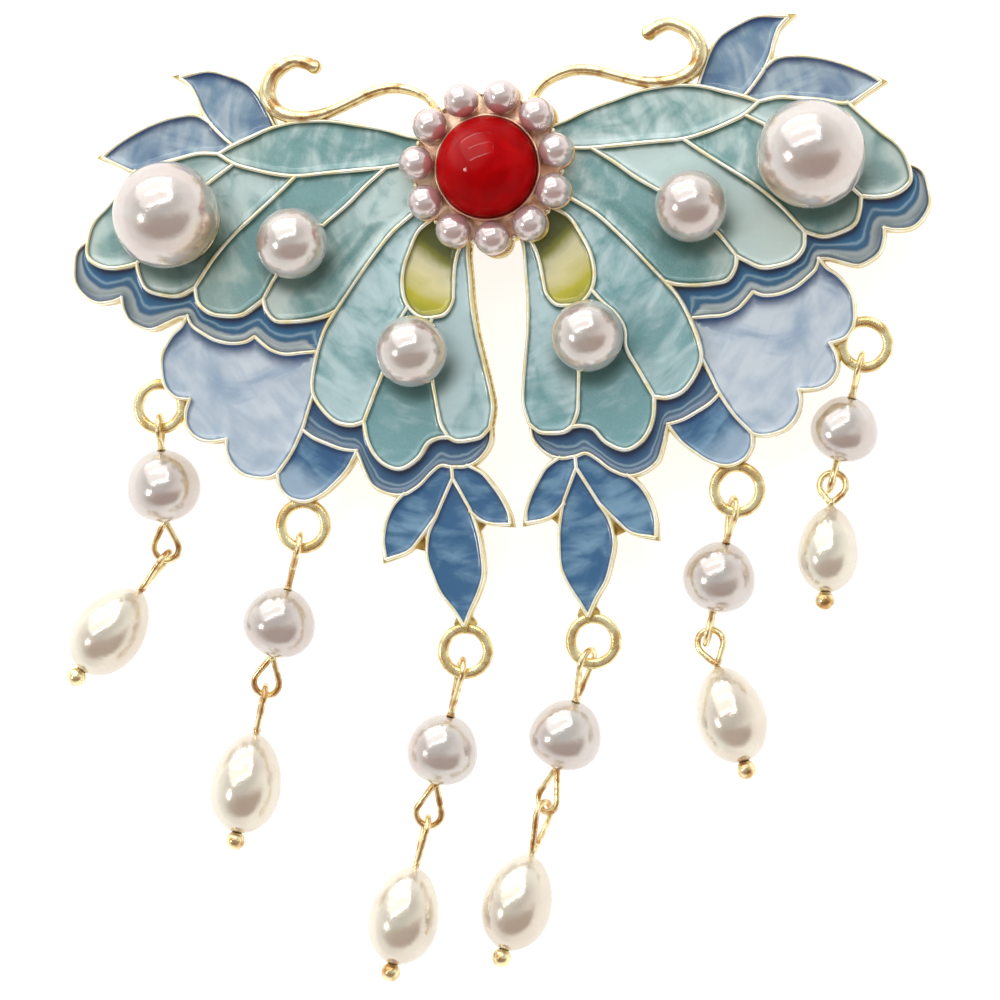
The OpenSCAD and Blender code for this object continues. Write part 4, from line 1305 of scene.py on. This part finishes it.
def drilled(r, half, full, seed, size, point=0.0):
    """A drilled pearl along X. At the angle a the radius is r sin(a)^p (1 + full*x*sin(a)) * lumps
    with x = -cos(a), and p grows towards the upper end where the pearl comes to a point. The
    profile goes on back through the hole, so the skin is closed."""
    rows, cols, inner = 44, 72, 6
    start = math.asin(BORE / r)
    a = np.linspace(start, math.pi - start, rows)[:, None]
    u = np.arange(cols)[None] * 2 * math.pi / cols
    x = -np.cos(a)
    p = 1 + point * (1 - x) / 2
    radius = r * np.sin(a) ** p * (1 + full * x * np.sin(a)) * lumps(u, a, seed, size)
    radius = np.maximum(radius, BORE + 0.02)
    back = np.linspace(BORE_END, -BORE_END, inner)[:, None]
    x = np.concatenate([x / math.cos(start), back]) * half + 0 * u
    radius = np.concatenate([radius, np.full((inner, cols), BORE)])
    skin = np.stack([x, radius * np.cos(u), radius * np.sin(u)], -1)
    return outwards(skin.reshape(-1, 3), grid(rows + inner, cols, wrap_rows=True))


print("a drilled pearl has", len(drilled(3.0, 3.0, full=0.1, seed=1, size=0.1)[1]), "faces")

# %% Six strands
BALL_OUT = 0.45
BEAD_WIDE, BEAD_LONG, DROP_WIDE, DROP_LONG = 1.05, 1.08, 1.03, 1.02
for k, strand in enumerate(STRANDS, 1):
    (*at, r, half), (*head_at, head_r, head_half) = lay(strand)
    end, head_end = half + NECK, head_half + NECK
    tip = head_half + FIT + BALL_OUT * BALL_D
    wire = [shank(-end, end), knot(-end), knot(end),
            eye_loop(TOP_R, strand.top * TOP_R, strand.top_roll, -end, -1),
            eye_loop(LOW_R, strand.low * LOW_R, strand.low_roll, end, 1)]
    head_wire = [shank(-head_end, tip), knot(-head_end), ball(tip, BALL_D),
                 eye_loop(LOW_R, strand.bail * LOW_R, strand.bail_roll, -head_end, -1)]
    bead = [drilled(r * BEAD_WIDE, half * BEAD_LONG, full=0.1, seed=200 + k, size=0.1)]
    drop = [drilled(head_r * DROP_WIDE, head_half * DROP_LONG, full=0.12, seed=300 + k, size=0.03,
                    point=0.16)]
    for name, parts, place, finish, slot, node in (
            ("eye_wire", wire, at, WIRE_GOLD, "gold", "eye_pin"),
            ("round_nacre", bead, at, PEARL, "pearl", "round_pearl"),
            ("head_wire", head_wire, head_at, WIRE_GOLD, "gold", "head_pin"),
            ("drop_nacre", drop, head_at, CREAM, "drop_pearl", "drop_pearl")):
        dress("%s_%d" % (name, k), placed(parts, *place), finish, ["%s_%d" % (node, k)])
print("strands", len(STRANDS))

# %% [markdown]
# ## The fork
#
# The photograph doesn't show what holds the piece in the hair. The model guesses a plain two
# pronged fork of round wire soldered to a flat pad. Its copy gets soft edges on the pad, by a live
# bevel, and duller plating.

# %% The fork's softened copy
fork_mesh = copy_of("hair_fork", flat=1)
fork_mesh.shade_smooth()
fork_mesh.materials.append(FORK_GOLD)
fork = tie("fork", fork_mesh, ["hair_fork"])
soft = fork.modifiers.new("soft edges", "BEVEL")
soft.width, soft.segments = 0.0003, 3
soft.limit_method, soft.angle_limit = "ANGLE", math.radians(50)
print("fork", len(fork_mesh.polygons), "faces")

# %% [markdown]
# ## Light
#
# The photograph is lit as a catalogue shot: a wide window beyond the feelers, a small lamp to the
# left, and white all round but for a darker patch where the camera stands. Those three show in each
# pearl, so they are built as they show there.


# %% Floor
def floor(half, z):
    """A sheet of white paper that glows a little, so that it stays white under the hairpin."""
    f = Finish("paper")
    paper = f.done(base_color=(0.48, 0.48, 0.48, 1), roughness=0.75,
                   emission_color=(1, 1, 1, 1), emission_strength=0.8)
    mesh = bpy.data.meshes.new("floor")
    corners = [(-half, -half, z), (half, -half, z), (half, half, z), (-half, half, z)]
    mesh.from_pydata(corners, [], [(0, 1, 2, 3)])
    mesh.materials.append(paper)
    obj = bpy.data.objects.new("floor", mesh)
    bpy.context.collection.objects.link(obj)
    obj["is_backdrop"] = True
    return obj


paper_sheet = floor(half=0.9, z=-2e-5)
print("floor", round(2 * paper_sheet.data.vertices[2].co.x, 3), "m wide")


# %% Window and lamp
def panel(name, way, far, size, glow, offset=(0, 0), colour=(1, 1, 1)):
    """A soft light that looks at the hairpin from a direction, far metres off, and is shifted
    sideways and upwards on its own plane. A panel that glows with g gives g*pi*area watts."""
    light = bpy.data.lights.new(name, "AREA")
    light.shape, light.size, light.size_y = "RECTANGLE", size[0], size[1]
    light.energy, light.color = glow * math.pi * size[0] * size[1], colour
    way = Vector(way).normalized()
    turn = way.to_track_quat("Z", "Y").to_matrix().to_4x4()
    obj = bpy.data.objects.new(name, light)
    obj.matrix_world = Matrix.Translation(way * far) @ turn @ Matrix.Translation((*offset, 0))
    bpy.context.collection.objects.link(obj)


WINDOW, WINDOW_FAR, BRIGHT = (-0.20, 0.73, 0.63), 0.69, 5.0
BARS = {"top": ((0.80, 0.05), (-0.02, 0.39)), "bar": ((0.62, 0.03), (-0.08, 0.02)),
        "sill": ((0.80, 0.05), (-0.02, -0.37)), "side": ((0.05, 0.34), (-0.42, 0.22))}
panel("window", WINDOW, far=0.7, size=(0.92, 0.80), glow=0.95)
for name, (size, offset) in BARS.items():
    panel("window " + name, WINDOW, WINDOW_FAR, size, BRIGHT, offset)
panel("lamp", (-0.70, -0.10, 0.72), far=0.6, size=(0.07, 0.07), glow=26.0,
      colour=(1, 0.97, 0.92))


# %% Screens round it
def surroundings():
    """White screens all round, brightest low on the right, and a dark camera and stand overhead."""
    f = Finish("studio", "worlds")
    way = f.node("TexCoord")

    def towards(*direction):
        unit = tuple(Vector(direction).normalized())
        return f.node("VectorMath", {"operation": "DOT_PRODUCT"}, {0: way, 1: unit}, out=1)

    colour = f.mix(towards(0, 0, 1).over(0.1, 0.85), (1.05, 1.05, 1.04, 1),
                   (0.48, 0.48, 0.48, 1))
    colour = f.mix(towards(0.65, -0.6, 0.15).over(0.2, 0.95), colour, (1.2, 1.18, 1.14, 1))
    across, down = towards(0.98, 0.0, -0.18) - 0.05, towards(0.06, 0.83, 0.56) * 2.0
    stand = (across * across + down * down).over(1.25, 0.35) * towards(0, 0, 1).over(0.2, 0.5)
    colour = f.mix(stand, colour, (0.34, 0.23, 0.19, 1))
    glow = f.node("Background", {}, {"Color": colour, "Strength": 1.0})
    f.node("OutputWorld", {}, {"Surface": glow})
    bpy.context.scene.world = f.material


surroundings()
bpy.context.scene.view_settings.view_transform = "Standard"
print("surroundings", bpy.context.scene.world.name)

# %% [markdown]
# ## The size
#
# The dressed piece must stay the size of the model, so both boxes are printed.

# %% Sizes and the end
size = {"cad": [list(map(float, v)) for v in cad_box],
        "visual": [list(map(float, v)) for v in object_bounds()]}
print(size)
